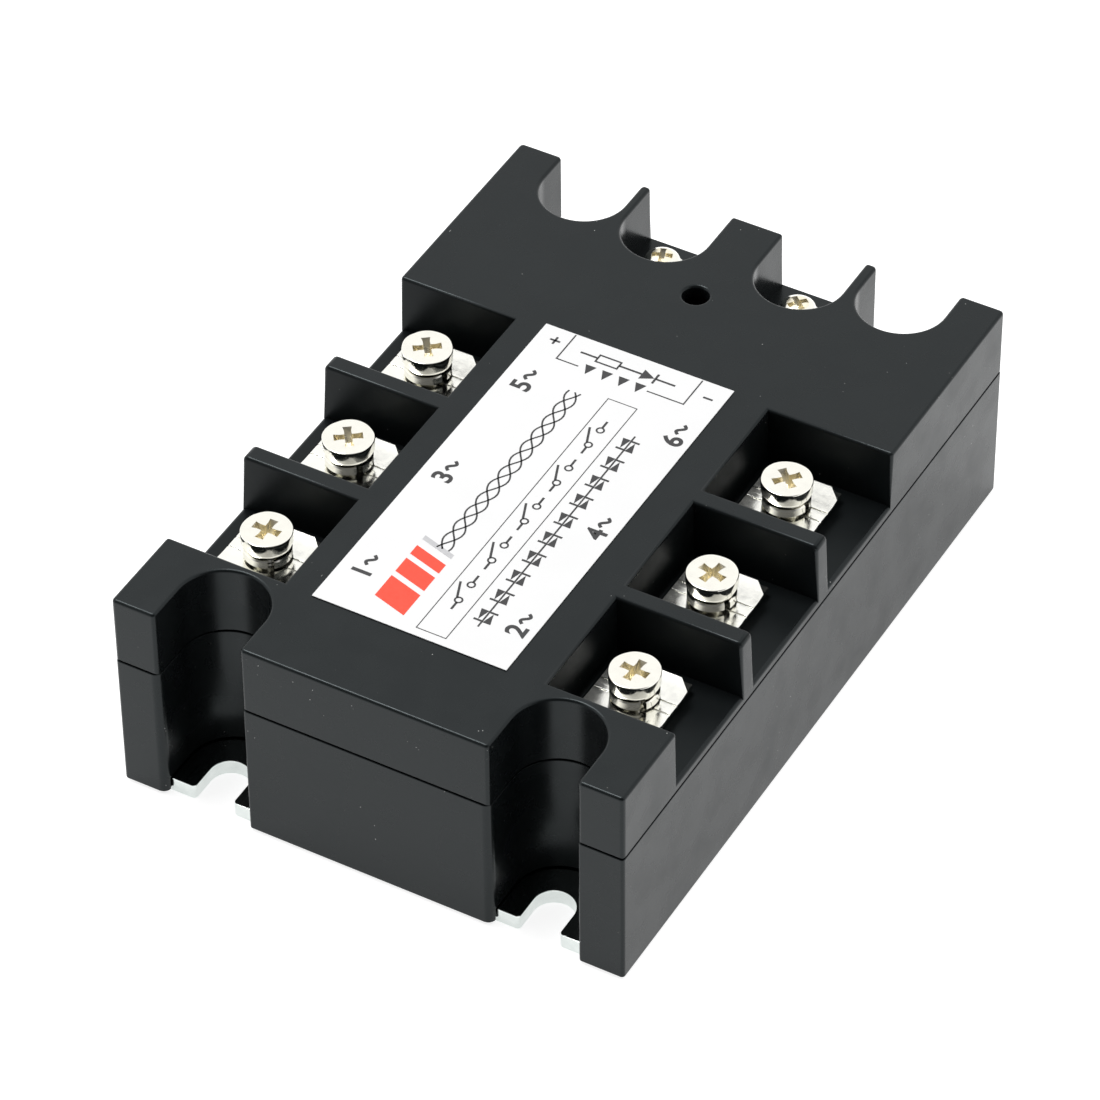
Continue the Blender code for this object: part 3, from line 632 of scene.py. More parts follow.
def notched_outline(half_width, half_length, notch_x, notch_radius, arc_y, corner, mouths, steps=32):
    """A rectangle with two round-ended notches in each end, its corners and the mouths rounded."""
    near_y, far_y = arc_y
    left, right = mouths
    points = [(-half_width, -half_length, corner)]
    for x in (-notch_x, notch_x):
        points.append((x - notch_radius, -half_length, left))
        points.extend((*point, 0.0) for point in arc((x, near_y), notch_radius, 180, 0, steps))
        points.append((x + notch_radius, -half_length, right))
    points.append((half_width, -half_length, corner))
    points.append((half_width, half_length, corner))
    for x in (notch_x, -notch_x):
        points.append((x + notch_radius, half_length, right))
        points.extend((*point, 0.0) for point in arc((x, far_y), notch_radius, 0, -180, steps))
        points.append((x - notch_radius, half_length, left))
    points.append((-half_width, half_length, corner))
    return rounded(points)


def housing_outline(wall=0.0, notch_wall=0.0, corner=COVER_CORNER, mouths=(COVER_CORNER,) * 2):
    radius = NOTCH_RADIUS + notch_wall
    half = (WIDTH / 2 - wall, LENGTH / 2 - wall)
    return notched_outline(*half, NOTCH_X, radius, NOTCH_ARC_Y, corner, mouths)


def make_lower_case():
    low, high = CASE_LOW.z, CASE_HIGH.z
    case = prism("case_shell", housing_outline(corner=CASE_CORNER, mouths=CASE_MOUTHS), low, high)
    ledge = PLATE_HIGH.z + FIT
    x, y = PLATE_HIGH.x + FIT, PLATE_HIGH.y + FIT
    recess = box("plate_recess", (-x, -y, low - REACH), (x, y, ledge))
    room = prism("case_room", housing_outline(CASE_WALL, NOTCH_WALL), ledge - REACH, high + REACH)
    combine(case, [recess, room], "DIFFERENCE")

    def radius(edge):
        a, b = (vert.co for vert in edge.verts)
        outside = max(abs(a.x), abs(b.x)) > x or max(abs(a.y), abs(b.y)) > y or in_notch(a, b)
        if not outside:
            return 0.0
        if max(a.z, b.z) < low + TOUCH:
            return CASE_FOOT_EDGE
        return SEAM_EDGE if min(a.z, b.z) > high - TOUCH else 0.0

    round_edges(case, radius)
    finish_piece(case, PLASTIC, "housing", "black_plastic", "lower_case")


def in_notch(a, b):
    """Whether the line between two points runs along the wall of one of the four notches."""
    for place in (a, b, (a + b) / 2):
        arc_y = NOTCH_ARC_Y[0] if place.y < 0 else NOTCH_ARC_Y[1]
        beside = abs(abs(place.x) - NOTCH_X)
        beyond = max(0.0, (arc_y - place.y) * math.copysign(1.0, place.y))
        if math.hypot(beside, beyond) > NOTCH_RADIUS + NEAR_WALL:
            return False
    return True


def bay_cutter(name, side, wall, low_y, high_y):
    """The room of one bay: rounded at the foot of the wall and over the floor's outer edge."""
    outer = side * WIDTH / 2
    lip = (outer - side * BAY_LIP, FLOOR_Z - BAY_LIP)
    foot = (wall + side * BAY_FILLET, FLOOR_Z + BAY_FILLET)
    profile = [(wall, ROOF_Z + REACH)]
    profile += arc(foot, BAY_FILLET, 180 if side > 0 else 0, 270 if side > 0 else -90, 5)
    profile += arc(lip, BAY_LIP, 90, 0 if side > 0 else 180, 8)
    profile += [(outer + side * REACH, FLOOR_Z - BAY_LIP), (outer + side * REACH, ROOF_Z + REACH)]
    return prism_along_y(name, profile if side > 0 else profile[::-1], low_y, high_y)


def cover_cutters():
    """The bays, the drafted barrier ends and the hollow that the cover is cut by."""
    cutters = []
    for side, wall in zip((-1, 1), SPINE_X):
        for phase in range(PHASES):
            y = BAYS_Y[0] + phase * (BAY_LENGTH + BARRIER)
            cutters.append(bay_cutter(f"bay_{side}_{phase}", side, wall, y, y + BAY_LENGTH))
        outer = side * WIDTH / 2
        beyond = outer + side * REACH
        round_x = outer - side * (BARRIER_INSET + BARRIER_ROUND)
        corner = (round_x, ROOF_Z - BARRIER_ROUND)
        wedge = [
            (round_x, ROOF_Z + REACH),
            *arc(corner, BARRIER_ROUND, 90, 0 if side > 0 else 180, 6),
            (outer, FLOOR_Z - BAY_LIP),
            (beyond, FLOOR_Z - BAY_LIP),
            (beyond, ROOF_Z + REACH),
        ]
        cutters.append(
            prism_along_y(f"ends_{side}", wedge if side > 0 else wedge[::-1], *BAYS_Y)
        )
    below = CASE_HIGH.z + SEAM_GAP - REACH
    ceiling = ROOF_Z - COVER_ROOF
    near_x = NOTCH_X - NOTCH_RADIUS - NOTCH_WALL
    far_y = INPUT_NOTCH_ARC_Y - INPUT_NOTCH_RADIUS - COVER_WALL
    spine = (SPINE_X[0] + COVER_WALL, SPINE_X[1] - COVER_WALL)
    side_x = WIDTH / 2 - COVER_WALL
    rooms = (
        ((-near_x, -LENGTH / 2 + COVER_WALL), (near_x, BAYS_Y[0] + REACH)),
        ((spine[0], BAYS_Y[0]), (spine[1], far_y - REACH)),
        ((-side_x, BAYS_Y[1] + COVER_WALL), (side_x, far_y)),
    )
    for index, (low, high) in enumerate(rooms):
        cutters.append(box(f"room_{index}", (*low, below), (*high, ceiling)))
    return cutters


def terminal_cutters():
    """Nut pockets, holes for the screw ends, and slots for the risers of the straps."""
    cutters = []
    for number in range(1, 2 * PHASES + 1):
        nut_low, nut_high, middle = node_box(f"terminal_nut_{number}")
        low = (nut_low.x - FIT, nut_low.y - FIT, nut_low.z - FIT)
        high = (nut_high.x + FIT, nut_high.y + FIT, FLOOR_Z + REACH)
        cutters.append(box(f"pocket_{number}", low, high))
        bottom = nut_low.z - FIT - NUT_BOSS_FLOOR - REACH
        cutters.append(cylinder(f"tip_{number}", middle[:2], TIP_HOLE, bottom, nut_low.z, 32))
        cutters.append(riser_slot(f"power_terminal_{number}", RISER_WIDTH, STRAP))
    return cutters


def riser_slot(node, width, thickness):
    """A slot round a power strap's riser, which stands at the end of its tongue nearest the spine."""
    _, _, middle = node_box(node)
    x_low, x_high = strap_riser_x(node, thickness)
    start = (x_low - FIT, middle.y - width / 2 - FIT, CASE_HIGH.z - REACH)
    end = (x_high + FIT, middle.y + width / 2 + FIT, FLOOR_Z + REACH)
    return box(f"slot_{node}", start, end)


def strap_riser_x(node, thickness):
    """The two faces of a power strap's riser: it stands RISER_FROM_SCREW inwards from the screw."""
    number = node.rsplit("_", 1)[1]
    _, _, middle = node_box(f"power_screw_{number}")
    side = math.copysign(1.0, middle.x)
    inner = middle.x - side * RISER_FROM_SCREW
    return sorted((inner, inner + side * thickness))


def input_cutters():
    """The half-round input notches, with slots and holes for the straps in their floors."""
    cutters = []
    for number in (1, 2):
        x = INPUT_NOTCH_X[number - 1]
        points = arc((x, INPUT_NOTCH_ARC_Y), INPUT_NOTCH_RADIUS, 180, 360, 32)
        points.append((x + INPUT_NOTCH_RADIUS, LENGTH / 2 + REACH))
        points.append((x - INPUT_NOTCH_RADIUS, LENGTH / 2 + REACH))
        cutters.append(prism(f"input_{number}", points, INPUT_FLOOR_Z, ROOF_Z + REACH))
        _, _, middle = node_box(f"input_screw_{number}")
        _, strap_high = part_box(f"input_terminal_{number}")
        riser_y = strap_high.y - INPUT_TONGUE
        half = INPUT_RISER_WIDTH / 2 + FIT
        base = CASE_HIGH.z - REACH
        start = (middle.x - half, riser_y - FIT, base)
        end = (middle.x + half, riser_y + INPUT_STRAP + FIT, INPUT_FLOOR_Z + REACH)
        cutters.append(box(f"input_slot_{number}", start, end))
        radius = BUSH_RADIUS + FIT
        cutters.append(cylinder(f"bush_{number}", middle[:2], radius, base, end[2], 32))
    return cutters


def make_top_cover():
    bottom = CASE_HIGH.z + SEAM_GAP
    cover = prism("cover_shell", housing_outline(), bottom, ROOF_Z)
    bosses = []
    half = NUT_SIDE / 2 + FIT + NUT_BOSS_WALL
    for number in range(1, 2 * PHASES + 1):
        nut_low, _, middle = node_box(f"terminal_nut_{number}")
        low = (middle.x - half, middle.y - half, nut_low.z - FIT - NUT_BOSS_FLOOR)
        high = (middle.x + half, middle.y + half, FLOOR_Z - 2 * FIT)
        bosses.append(box(f"boss_{number}", low, high))
    combine(cover, bosses, "UNION")
    cutters = cover_cutters() + terminal_cutters() + input_cutters()
    _, _, middle = node_box("indicator_led")
    cutters.append(cylinder("indicator", middle[:2], INDICATOR_HOLE, bottom, ROOF_Z + REACH))
    combine(cover, cutters, "DIFFERENCE")

    def radius(edge):
        a, b = (vert.co for vert in edge.verts)
        if min(a.z, b.z) > ROOF_Z - TOUCH:
            return TOP_EDGE
        upright = abs(a.z - b.z) > 2 * MM and max(a.z, b.z) > ROOF_Z - TOUCH
        outer = max(abs(a.x), abs(b.x)) > WIDTH / 2 - 2 * BARRIER_INSET
        end_x = WIDTH / 2 - BARRIER_INSET - BARRIER_ROUND - TOUCH
        if min(abs(a.x), abs(b.x)) > end_x and max(a.z, b.z) > FLOOR_Z + BAY_LIP:
            return TOP_EDGE
        if upright and (outer or max(a.y, b.y) > LENGTH / 2 - TOUCH):
            return TOP_EDGE
        at_side = abs(max(abs(a.x), abs(b.x)) - WIDTH / 2) < TOUCH
        at_end = max(abs(a.y), abs(b.y)) > LENGTH / 2 - TOUCH
        if max(a.z, b.z) < bottom + TOUCH and (at_side or at_end or in_notch(a, b)):
            return SEAM_EDGE
        return 0.0

    round_edges(cover, radius)
    # The bay walls and floors take the darker copy of the plastic, which is painted shade for the shade
    # inside the bays.
    coat(cover, PLASTIC, SHADED_BAY_PLASTIC)
    for face in cover.data.polygons:
        face.material_index = int(in_bay(face.center))
    finish_piece(cover, None, "housing", "black_plastic", "top_cover")


def in_bay(place):
    """Whether a face of the cover is a wall or the floor of one of the terminal bays."""
    beside = place.x < SPINE_X[0] + NEAR_WALL or place.x > SPINE_X[1] - NEAR_WALL
    along = BAYS_Y[0] - NEAR_WALL < place.y < BAYS_Y[1] + NEAR_WALL
    above = FLOOR_Z - NEAR_WALL < place.z < ROOF_Z - 2 * NEAR_WALL
    return beside and along and above and abs(place.x) < WIDTH / 2 - 2 * BARRIER_INSET


def make_base_plate():
    slot = (PLATE_SLOT_X, PLATE_SLOT_RADIUS, PLATE_SLOT_ARC_Y)
    mouths = (PLATE_CORNER, PLATE_CORNER)
    points = notched_outline(PLATE_HIGH.x, PLATE_HIGH.y, *slot, PLATE_CORNER, mouths)
    plate = prism("plated_base", points, PLATE_LOW.z, PLATE_HIGH.z)
    round_edges(plate, lambda edge: PLATE_EDGE, 2)
    finish_piece(plate, ZINC, "housing", "zinc_plate", "base_plate")


# ---- Label ----


class Print:
    """Thin flat strokes, fills and figures on the label, gathered into one mesh, in millimetres."""

    def __init__(self, name, ink):
        self.name = name
        self.ink = ink
        self.shape = bmesh.new()
        self.low = LABEL_HIGH.z - INK_HEIGHT
        self.high = LABEL_HIGH.z

    def corner(self, place, z):
        return self.shape.verts.new((place[0] * MM, place[1] * MM, z))

    def fill(self, points):
        """A filled convex outline, as a thin closed slab."""
        lower = [self.corner(point, self.low) for point in points]
        upper = [self.corner(point, self.high) for point in points]
        faces = [self.shape.faces.new(lower), self.shape.faces.new(upper)]
        faces += skin(self.shape, [lower, upper], False)
        bmesh.ops.recalc_face_normals(self.shape, faces=faces)

    def stroke(self, points, width, closed=False):
        """A line of this width through the points, with mitred joints."""
        places = [Vector(point) for point in points]
        count = len(places)
        rings = []
        for index, here in enumerate(places):
            before = places[index - 1] if closed or index else None
            after = places[(index + 1) % count] if closed or index < count - 1 else None
            into = (here - before).normalized() if before is not None else None
            out = (after - here).normalized() if after is not None else None
            into = into or out
            out = out or into
            normal = Vector((-into.y - out.y, into.x + out.x)).normalized()
            reach = width / 2 / max(SHARPEST_MITRE, normal.dot(Vector((-into.y, into.x))))
            left = here + normal * reach
            right = here - normal * reach
            section = ((left, self.low), (right, self.low), (right, self.high), (left, self.high))
            rings.append([self.corner(place, z) for place, z in section])
        if closed:
            rings.append(rings[0])
        faces = skin(self.shape, rings, not closed)
        bmesh.ops.recalc_face_normals(self.shape, faces=faces)

    def figure(self, text, middle, size, weight, turn):
        """A figure or sign from Blender's own font, centred on a point."""
        curve = bpy.data.curves.new(text, "FONT")
        curve.body = text
        curve.size = size * MM
        curve.offset = weight * MM
        curve.extrude = INK_HEIGHT / 2
        curve.align_x = "CENTER"
        curve.align_y = "CENTER"
        curve.resolution_u = 6
        helper = link_object(f"figure_{text}", curve)
        bpy.context.view_layer.update()
        graph = bpy.context.evaluated_depsgraph_get()
        mesh = bpy.data.meshes.new_from_object(helper.evaluated_get(graph))
        corners = [vertex.co for vertex in mesh.vertices]
        low = Vector(min(corner[axis] for corner in corners) for axis in range(3))
        high = Vector(max(corner[axis] for corner in corners) for axis in range(3))
        target = Vector((middle[0] * MM, middle[1] * MM, (self.low + self.high) / 2))
        turned_round = Matrix.Rotation(math.radians(turn), 4, "Z")
        to_origin = Matrix.Translation(-(low + high) / 2)
        mesh.transform(Matrix.Translation(target) @ turned_round @ to_origin)
        self.shape.from_mesh(mesh)
        bpy.data.objects.remove(helper)
        bpy.data.meshes.remove(mesh)

    def finish(self):
        bmesh.ops.remove_doubles(self.shape, verts=self.shape.verts, dist=1e-7)
        obj = object_from(self.name, self.shape)
        return finish_piece(obj, self.ink, "housing", "label_paper")


def make_label():
    top = (LABEL_HIGH.x, LABEL_HIGH.y, LABEL_HIGH.z - INK_HEIGHT)
    film = box("label_film_sheet", LABEL_LOW, top)
    round_edges(film, lambda edge: LABEL_EDGE, 2)
    finish_piece(film, PAPER, "housing", "label_paper", "label")
    black = Print("label_print", BLACK_INK)
    print_terminal_numbers(black)
    print_phase_waves(black)
    print_contact_box(black)
    print_switch_row(black)
    print_input_box(black)
    black.finish()
    print_mark()


def print_terminal_numbers(ink):
    """Terminal numbers, each beside its bay, with a small wave for alternating current."""
    for number in range(1, 2 * PHASES + 1):
        _, _, middle = node_box(f"power_screw_{number}")
        x = -11.8 if number % 2 else 10.8
        y = middle.y / MM - 2.2
        ink.figure(str(number), (x, y - 1.2), 3.9, 0.10, READING)
        ink.stroke(wave(x, y + 1.2, 2.0, 0.45, 1.0), BOLD)


def wave(x, y, length, height, turns, phase=0.0, steps=16):
    """Points of a sine wave along Y, centred on a point."""
    count = int(steps * turns)
    points = []
    for step in range(count + 1):
        part = step / count
        angle = 2 * math.pi * (turns * part + phase)
        points.append((x - height * math.sin(angle), y + (part - 0.5) * length))
    return points


def print_phase_waves(ink):
    """Three waves a third of a turn apart, for the three phases."""
    for index in range(3):
        ink.stroke(wave(-4.9, -7.0, 34.6, 1.0, 4.0, index / 3), THIN)


def print_contact_box(ink):
    """A frame with five open contacts in it."""
    ink.stroke([(-0.5, -38.4), (3.8, -38.4), (3.8, 11.3), (-0.5, 11.3)], FINE, closed=True)
    x = 1.65
    for index in range(5):
        y = -29.9 + 8.4 * index
        for side in (-1, 1):
            inner = y + side * 1.6
            ink.stroke([(x, inner + side * 0.5), (x, inner + side * 1.9)], MEDIUM)
            ink.stroke(arc((x, inner), 0.5, 0, 330, 11), THIN, closed=True)
        ink.stroke([(x - 0.4, y - 1.3), (x - 1.5, y + 1.5)], MEDIUM)


def print_switch_row(ink):
    """A row of solid symbols: pairs of thyristors back to back, on one line."""
    x = 6.2
    pitch = 4.1
    for index in range(10):
        y = -32.5 + index * pitch
        ink.stroke([(x, y - pitch / 2), (x, y + pitch / 2)], THIN)
        for side in (-1, 1):
            foot = x + side * 0.12
            top = x + side * 1.25
            tip = y + side * 0.8
            ink.fill([(foot, y - side * 1.1), (top, y - side * 1.1), ((foot + top) / 2, tip)])
            ink.stroke([(foot, tip + side * 0.15), (top, tip + side * 0.15)], MEDIUM)


def print_input_box(ink):
    """The frame at the input end, open towards the label's edge, with signs and a lamp circuit."""
    left, right, near = -10.4, 8.65, 15.05
    far = LABEL_HIGH.y / MM - 0.2
    ink.stroke([(left, far), (left, near), (-7.1, near)], FRAME_LINE)
    ink.stroke([(3.2, near), (right, near), (right, far)], FRAME_LINE)
    for index in range(4):
        x = -5.6 + 2.5 * index
        ink.fill([(x - 0.8, 15.9), (x + 0.8, 15.9), (x, 14.1)])
    y = 17.7
    ink.stroke([(-8.2, y), (-5.6, y)], MEDIUM)
    ink.stroke([(-5.6, 17.0), (-2.4, 17.0), (-2.4, 18.4), (-5.6, 18.4)], RESISTOR_LINE, closed=True)
    ink.stroke([(-2.4, y), (1.0, y)], MEDIUM)
    ink.fill([(1.0, 16.7), (1.0, 18.7), (2.9, y)])
    ink.stroke([(3.05, 16.7), (3.05, 18.7)], MEDIUM)
    ink.stroke([(3.1, y), (6.0, y)], MEDIUM)
    ink.stroke([(-13.05, 18.1), (-11.55, 18.1)], MEDIUM)
    ink.stroke([(-12.3, 17.35), (-12.3, 18.85)], MEDIUM)
    ink.stroke([(10.25, 17.55), (11.65, 17.55)], MEDIUM)


def print_mark():
    """A plain mark of three slanting bars, with a thin grey stripe beside them."""
    red = Print("label_mark", RED_INK)
    slant = 1.5
    low, high = -8.1, -3.0
    for y, wide in ((-37.3, 4.2), (-32.2, 2.8), (-28.5, 1.8)):
        end = y + wide
        red.fill([(high, y), (high, end), (low, end + slant), (low, y + slant)])
    red.finish()
    grey = Print("label_stripe", GREY_INK)
    y = -24.6
    grey.fill([(high, y - 0.8), (high, y), (low, y + slant), (low, y + slant - 0.8)])
    grey.finish()


# ---- Screws, washers and straps ----


def thread_rings(top, length, thread, tip):
    """Rings of a right-hand thread from z = top down, run out under the head and at the tip."""
    pitch, root, crest = thread
    rows = int(length / pitch * THREAD_ROWS)
    rings = []
    for row in range(rows + 1):
        depth = length * row / rows
        z = top - depth
        run_out = min(1.0, depth / pitch, max(0.0, length - depth) / pitch)
        taper = min(1.0, (length - depth) / tip)

        def radius(angle, z=z, run_out=run_out, taper=taper):
            part = (z / pitch - angle / (2 * math.pi)) % 1.0
            ridge = 1.0 - abs(2.0 * part - 1.0)
            swell = (crest - root) * ridge * run_out
            return (root + swell) * (0.72 + 0.28 * taper)

        rings.append((radius, z))
    return rings


def flat_head_rings(head_radius, low, high, neck, seed):
    """Rings of a flat-topped head. Its rim is a little uneven, as left by the heading tool."""
    rings = [(0.0, high), (0.55 * head_radius, high)]
    profile = []
    for step in range(5):
        turn = math.radians(90 * step / 4)
        inset = HEAD_EDGE * (1 - math.sin(turn))
        profile.append((head_radius - inset, high - HEAD_EDGE * (1 - math.cos(turn))))
    profile += [(head_radius - inset * MM, low + height * MM) for inset, height in HEAD_SIDE]
    for reach, z in profile:
        rings.append((uneven(reach, seed), z))
    rings.append((neck, low))
    return rings


def uneven(reach, seed):
    """A radius that drifts a little round the head."""

    def radius(angle):
        spot = Vector((math.cos(angle), math.sin(angle), seed))
        return reach + 0.13 * MM * noise.noise(1.6 * spot) - 0.03 * MM

    return radius


def pan_head_rings(head_radius, low, high, neck, _):
    """Rings of a domed head."""
    rings = [(0.0, high)]
    for step in range(1, 9):
        turn = math.radians(90 * step / 8)
        rings.append((head_radius * math.sin(turn) ** 0.8, high - 1.0 * MM * (1 - math.cos(turn))))
    rings.append((head_radius, low + 0.2 * MM))
    rings.append((head_radius - 0.15 * MM, low))
    rings.append((neck, low))
    return rings


def cross_outline(reach, tip, waist):
    """A cross whose arms widen to their ends. Tip and waist are half the width of an arm."""
    quarter = [
        (reach, tip),
        (0.62 * reach, waist + 0.25 * (tip - waist)),
        (1.15 * waist, 1.15 * waist),
        (waist + 0.25 * (tip - waist), 0.62 * reach),
        (tip, reach),
    ]
    points = []
    for turn in range(4):
        for x, y in quarter:
            for _ in range(turn):
                x, y = -y, x
            points.append((x, y))
    return points


def cross_cutter(reach, depth, top):
    """A cross recess that narrows as it goes down."""
    shape = bmesh.new()
    rows = []
    for part, length, width in RECESS_ROWS:
        outline = cross_outline(reach * length, 0.32 * reach * width, 0.22 * reach * width)
        rows.append([shape.verts.new((x, y, top - part * depth)) for x, y in outline])
    skin(shape, rows)
    return closed_object("cross_recess", shape)


def make_screw(name, node, body, head, thread, recess, turn, seed):
    """A cross-recessed screw with a real thread, in the box of its CAD node."""
    low, high, middle = node_box(node)
    head_radius = (high.x - low.x) / 2
    head_low = head_bottom(node)
    _, root, _ = thread
    rings = head(head_radius, head_low, high.z, root + 0.02 * MM, seed)
    start = head_low - 0.05 * MM
    rings += thread_rings(start, start - low.z, thread, TIP_TAPER)
    rings.append((0.0, low.z))
    screw = turned(name, rings)
    reach, depth = recess
    cutter = cross_cutter(reach, depth, high.z)
    cutter.data.transform(Matrix.Rotation(math.radians(turn), 4, "Z"))
    combine(screw, [cutter], "DIFFERENCE")
    # Faces inside the cross recess take the warmer, darker nickel, which is painted shade and
    # reflection.
    coat(screw, NICKEL, RECESS_SHADE_NICKEL)
    for face in screw.data.polygons:
        inside = math.hypot(*face.center[:2]) < 1.05 * reach and face.center.z > head_low
        face.material_index = int(inside and face.center.z < high.z - 0.02 * MM)
    screw.data.transform(Matrix.Translation((middle.x, middle.y, 0.0)))
    shade(screw, 40)
    finish_piece(screw, None, body, "nickel", node)


def head_bottom(node):
    """Height of the underside of a screw's head: the lowest point at the head's full radius."""
    low, high, middle = node_box(node)
    rim = 0.98 * (high.x - low.x) / 2
    corners = [vertex.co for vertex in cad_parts[node].data.vertices]
    return min(corner.z for corner in corners if (corner.xy - middle.xy).length > rim)


def make_split_washer(name, node, body, bore, start):
    """A spring washer: a flat-sided wire wound once round, its ends a little apart."""
    low, high, middle = node_box(node)
    outer = (high.x - low.x) / 2
    foot = low.z - SPLIT_DROP
    inside, outside = bore + SPLIT_CHAMFER, outer - SPLIT_CHAMFER
    under, over = foot + SPLIT_CHAMFER, high.z - SPLIT_CHAMFER
    section = [(bore, under), (inside, foot), (outside, foot), (outer, under)]
    section += [(outer, over), (outside, high.z), (inside, high.z), (bore, over)]
    shape = bmesh.new()
    rings = []
    for step in range(SPLIT_STEPS + 1):
        part = step / SPLIT_STEPS
        angle = math.radians(start + SPLIT_GAP / 2 + (360 - SPLIT_GAP) * part)
        ring = []
        for r, z in section:
            x = middle.x + r * math.cos(angle)
            ring.append(shape.verts.new((x, middle.y + r * math.sin(angle), z + SPLIT_RISE * part)))
        rings.append(ring)
    skin(shape, rings)
    washer = shade(closed_object(name, shape), 30)
    finish_piece(washer, NICKEL, body, "nickel", node)


def make_grooved_washer(name, node, body):
    """A square clamping washer with cut corners and two grooves across its top."""
    low, high, middle = node_box(node)
    half = (high.x - low.x) / 2
    cut = WASHER_CORNER
    corners = [(half, half - cut), (half - cut, half), (cut - half, half), (-half, half - cut)]
    corners += [(-x, -y) for x, y in corners]
    points = rounded([(x + middle.x, y + middle.y, WASHER_ROUND) for x, y in corners], 4)
    top = high.z - WASHER_CUP
    washer = prism(name, points, low.z, top)
    cutters = [cylinder("hole", middle[:2], SCREW_BORE, low.z - REACH, high.z + REACH)]
    for side in (-1, 1):
        y = middle.y + side * GROOVE_Y
        start = (low.x - REACH, y - GROOVE_WIDTH / 2, top - GROOVE_DEPTH)
        end = (high.x + REACH, y + GROOVE_WIDTH / 2, high.z + REACH)
        cutters.append(box(f"groove_{side}", start, end))
    combine(washer, cutters, "DIFFERENCE")

    def radius(edge):
        a, b = (vert.co for vert in edge.verts)
        in_groove = min(a.z, b.z) < top - TOUCH and max(a.z, b.z) > low.z + TOUCH
        return 0.0 if in_groove else WASHER_EDGE

    round_edges(washer, radius, 2)
    cup(washer, middle.y, half)
    finish_piece(washer, SATIN_NICKEL, body, "nickel", node)


def cup(washer, middle_y, half):
    """Bends the near and far edges of a flat piece up, in a shallow curve."""
    shape = bmesh.new()
    shape.from_mesh(washer.data)
    for cut in range(1, CUP_CUTS):
        place = (0.0, middle_y - half + 2 * half * cut / CUP_CUTS, 0.0)
        everything = shape.verts[:] + shape.edges[:] + shape.faces[:]
        bmesh.ops.bisect_plane(shape, geom=everything, plane_co=place, plane_no=(0.0, 1.0, 0.0))
    for vertex in shape.verts:
        out = abs(vertex.co.y - middle_y) / half
        vertex.co.z += WASHER_CUP * (max(0.0, out - WASHER_FLAT) / (1 - WASHER_FLAT)) ** 2
    shape.to_mesh(washer.data)
    shape.free()
    shade(washer)


def bent_strip(outer, riser, foot, top, bottom, step, tight):
    """Side outline of a strap: tongue at the top, riser, and foot. Step is its signed thickness."""
    thick = abs(step)
    profile = [
        (outer, top - thick, STRAP_EDGE),
        (outer, top, STRAP_EDGE),
        (riser, top, thick + tight),
        (riser, bottom + thick, tight),
        (foot, bottom + thick, STRAP_EDGE),
        (foot, bottom, STRAP_EDGE),
        (riser + step, bottom, thick + tight),
        (riser + step, top - thick, tight),
    ]
    return rounded(profile)


def make_power_strap(number):
    """Tongue, riser and foot in one bent strip, with a hole for the screw."""
    node = f"power_terminal_{number}"
    low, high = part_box(node)
    _, _, screw = node_box(f"power_screw_{number}")
    side = math.copysign(1.0, screw.x)
    riser = screw.x - side * RISER_FROM_SCREW
    outer, foot = (high.x, low.x) if side > 0 else (low.x, high.x)
    top = high.z
    points = bent_strip(outer, riser, foot, top, low.z, side * STRAP, STRAP_BEND)
    y = screw.y
    half = TONGUE_WIDTH / 2
    strap = prism_along_y(f"terminal_strap_{number}", points, y - half, y + half)
    cutters = [cylinder("hole", screw[:2], SCREW_BORE, top - STRAP - REACH, top + REACH)]
    across = sorted((foot - side * REACH, riser + side * SIDE_CUT_REACH))
    edge = sorted((riser - side * REACH, riser + side * STRAP_SHOULDER))
    for way in (-1, 1):
        ends = sorted((y + way * RISER_WIDTH / 2, y + way * (half + REACH)))
        start = (across[0], ends[0], low.z - REACH)
        end = (across[1], ends[1], top - STRAP - SIDE_CUT_GAP)
        cutters.append(box(f"side_{way}", start, end))
        start = (edge[0], ends[0], top - 2 * STRAP)
        cutters.append(box(f"shoulder_{way}", start, (edge[1], ends[1], top + REACH)))
    combine(strap, cutters, "DIFFERENCE")
    shade(strap, 30)
    finish_piece(strap, SATIN_NICKEL, "housing", "nickel", node)


def make_input_strap(number):
    """The small strap under an input screw: tongue, riser, foot and threaded bush."""
    node = f"input_terminal_{number}"
    low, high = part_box(node)
    _, _, screw = node_box(f"input_screw_{number}")
    x, y = screw[:2]
    riser = high.y - INPUT_TONGUE
    top = high.z
    points = bent_strip(high.y, riser, low.y, top, low.z, INPUT_STRAP, INPUT_BEND)
    half = (high.x - low.x) / 2
    strap = prism(f"input_strap_{number}", points, x - half, x + half)
    strap.data.transform(Matrix(((0, 0, 1, 0), (1, 0, 0, 0), (0, 1, 0, 0), (0, 0, 0, 1))))
    under = top - INPUT_STRAP
    bush = cylinder("bush", (x, y), BUSH_RADIUS, under - BUSH_DEPTH, under + INPUT_STRAP / 2, 40)
    combine(strap, [bush], "UNION")
    cutters = [cylinder("bore", (x, y), INPUT_BORE, low.z, top + REACH, 40)]
    for way in (-1, 1):
        across = sorted((x + way * INPUT_RISER_WIDTH / 2, x + way * (half + REACH)))
        start = (across[0], low.y - REACH, low.z - REACH)
        end = (across[1], riser + INPUT_SHOULDER, under - INPUT_SIDE_CUT_GAP)
        cutters.append(box(f"side_{way}", start, end))
    combine(strap, cutters, "DIFFERENCE")
    shade(strap, 30)
    finish_piece(strap, SATIN_NICKEL, "housing", "nickel", node)


def make_plain_washer(name, node, body):
    """A flat round washer with rounded edges."""
    low, high, middle = node_box(node)
    washer = cylinder(name, middle[:2], (high.x - low.x) / 2, low.z, high.z, 60)
    hole = cylinder("hole", middle[:2], INPUT_BORE, low.z - REACH, high.z + REACH)
    combine(washer, [hole], "DIFFERENCE")
    round_edges(washer, lambda _: INPUT_WASHER_EDGE, 2)
    finish_piece(washer, SATIN_NICKEL, body, "nickel", node)


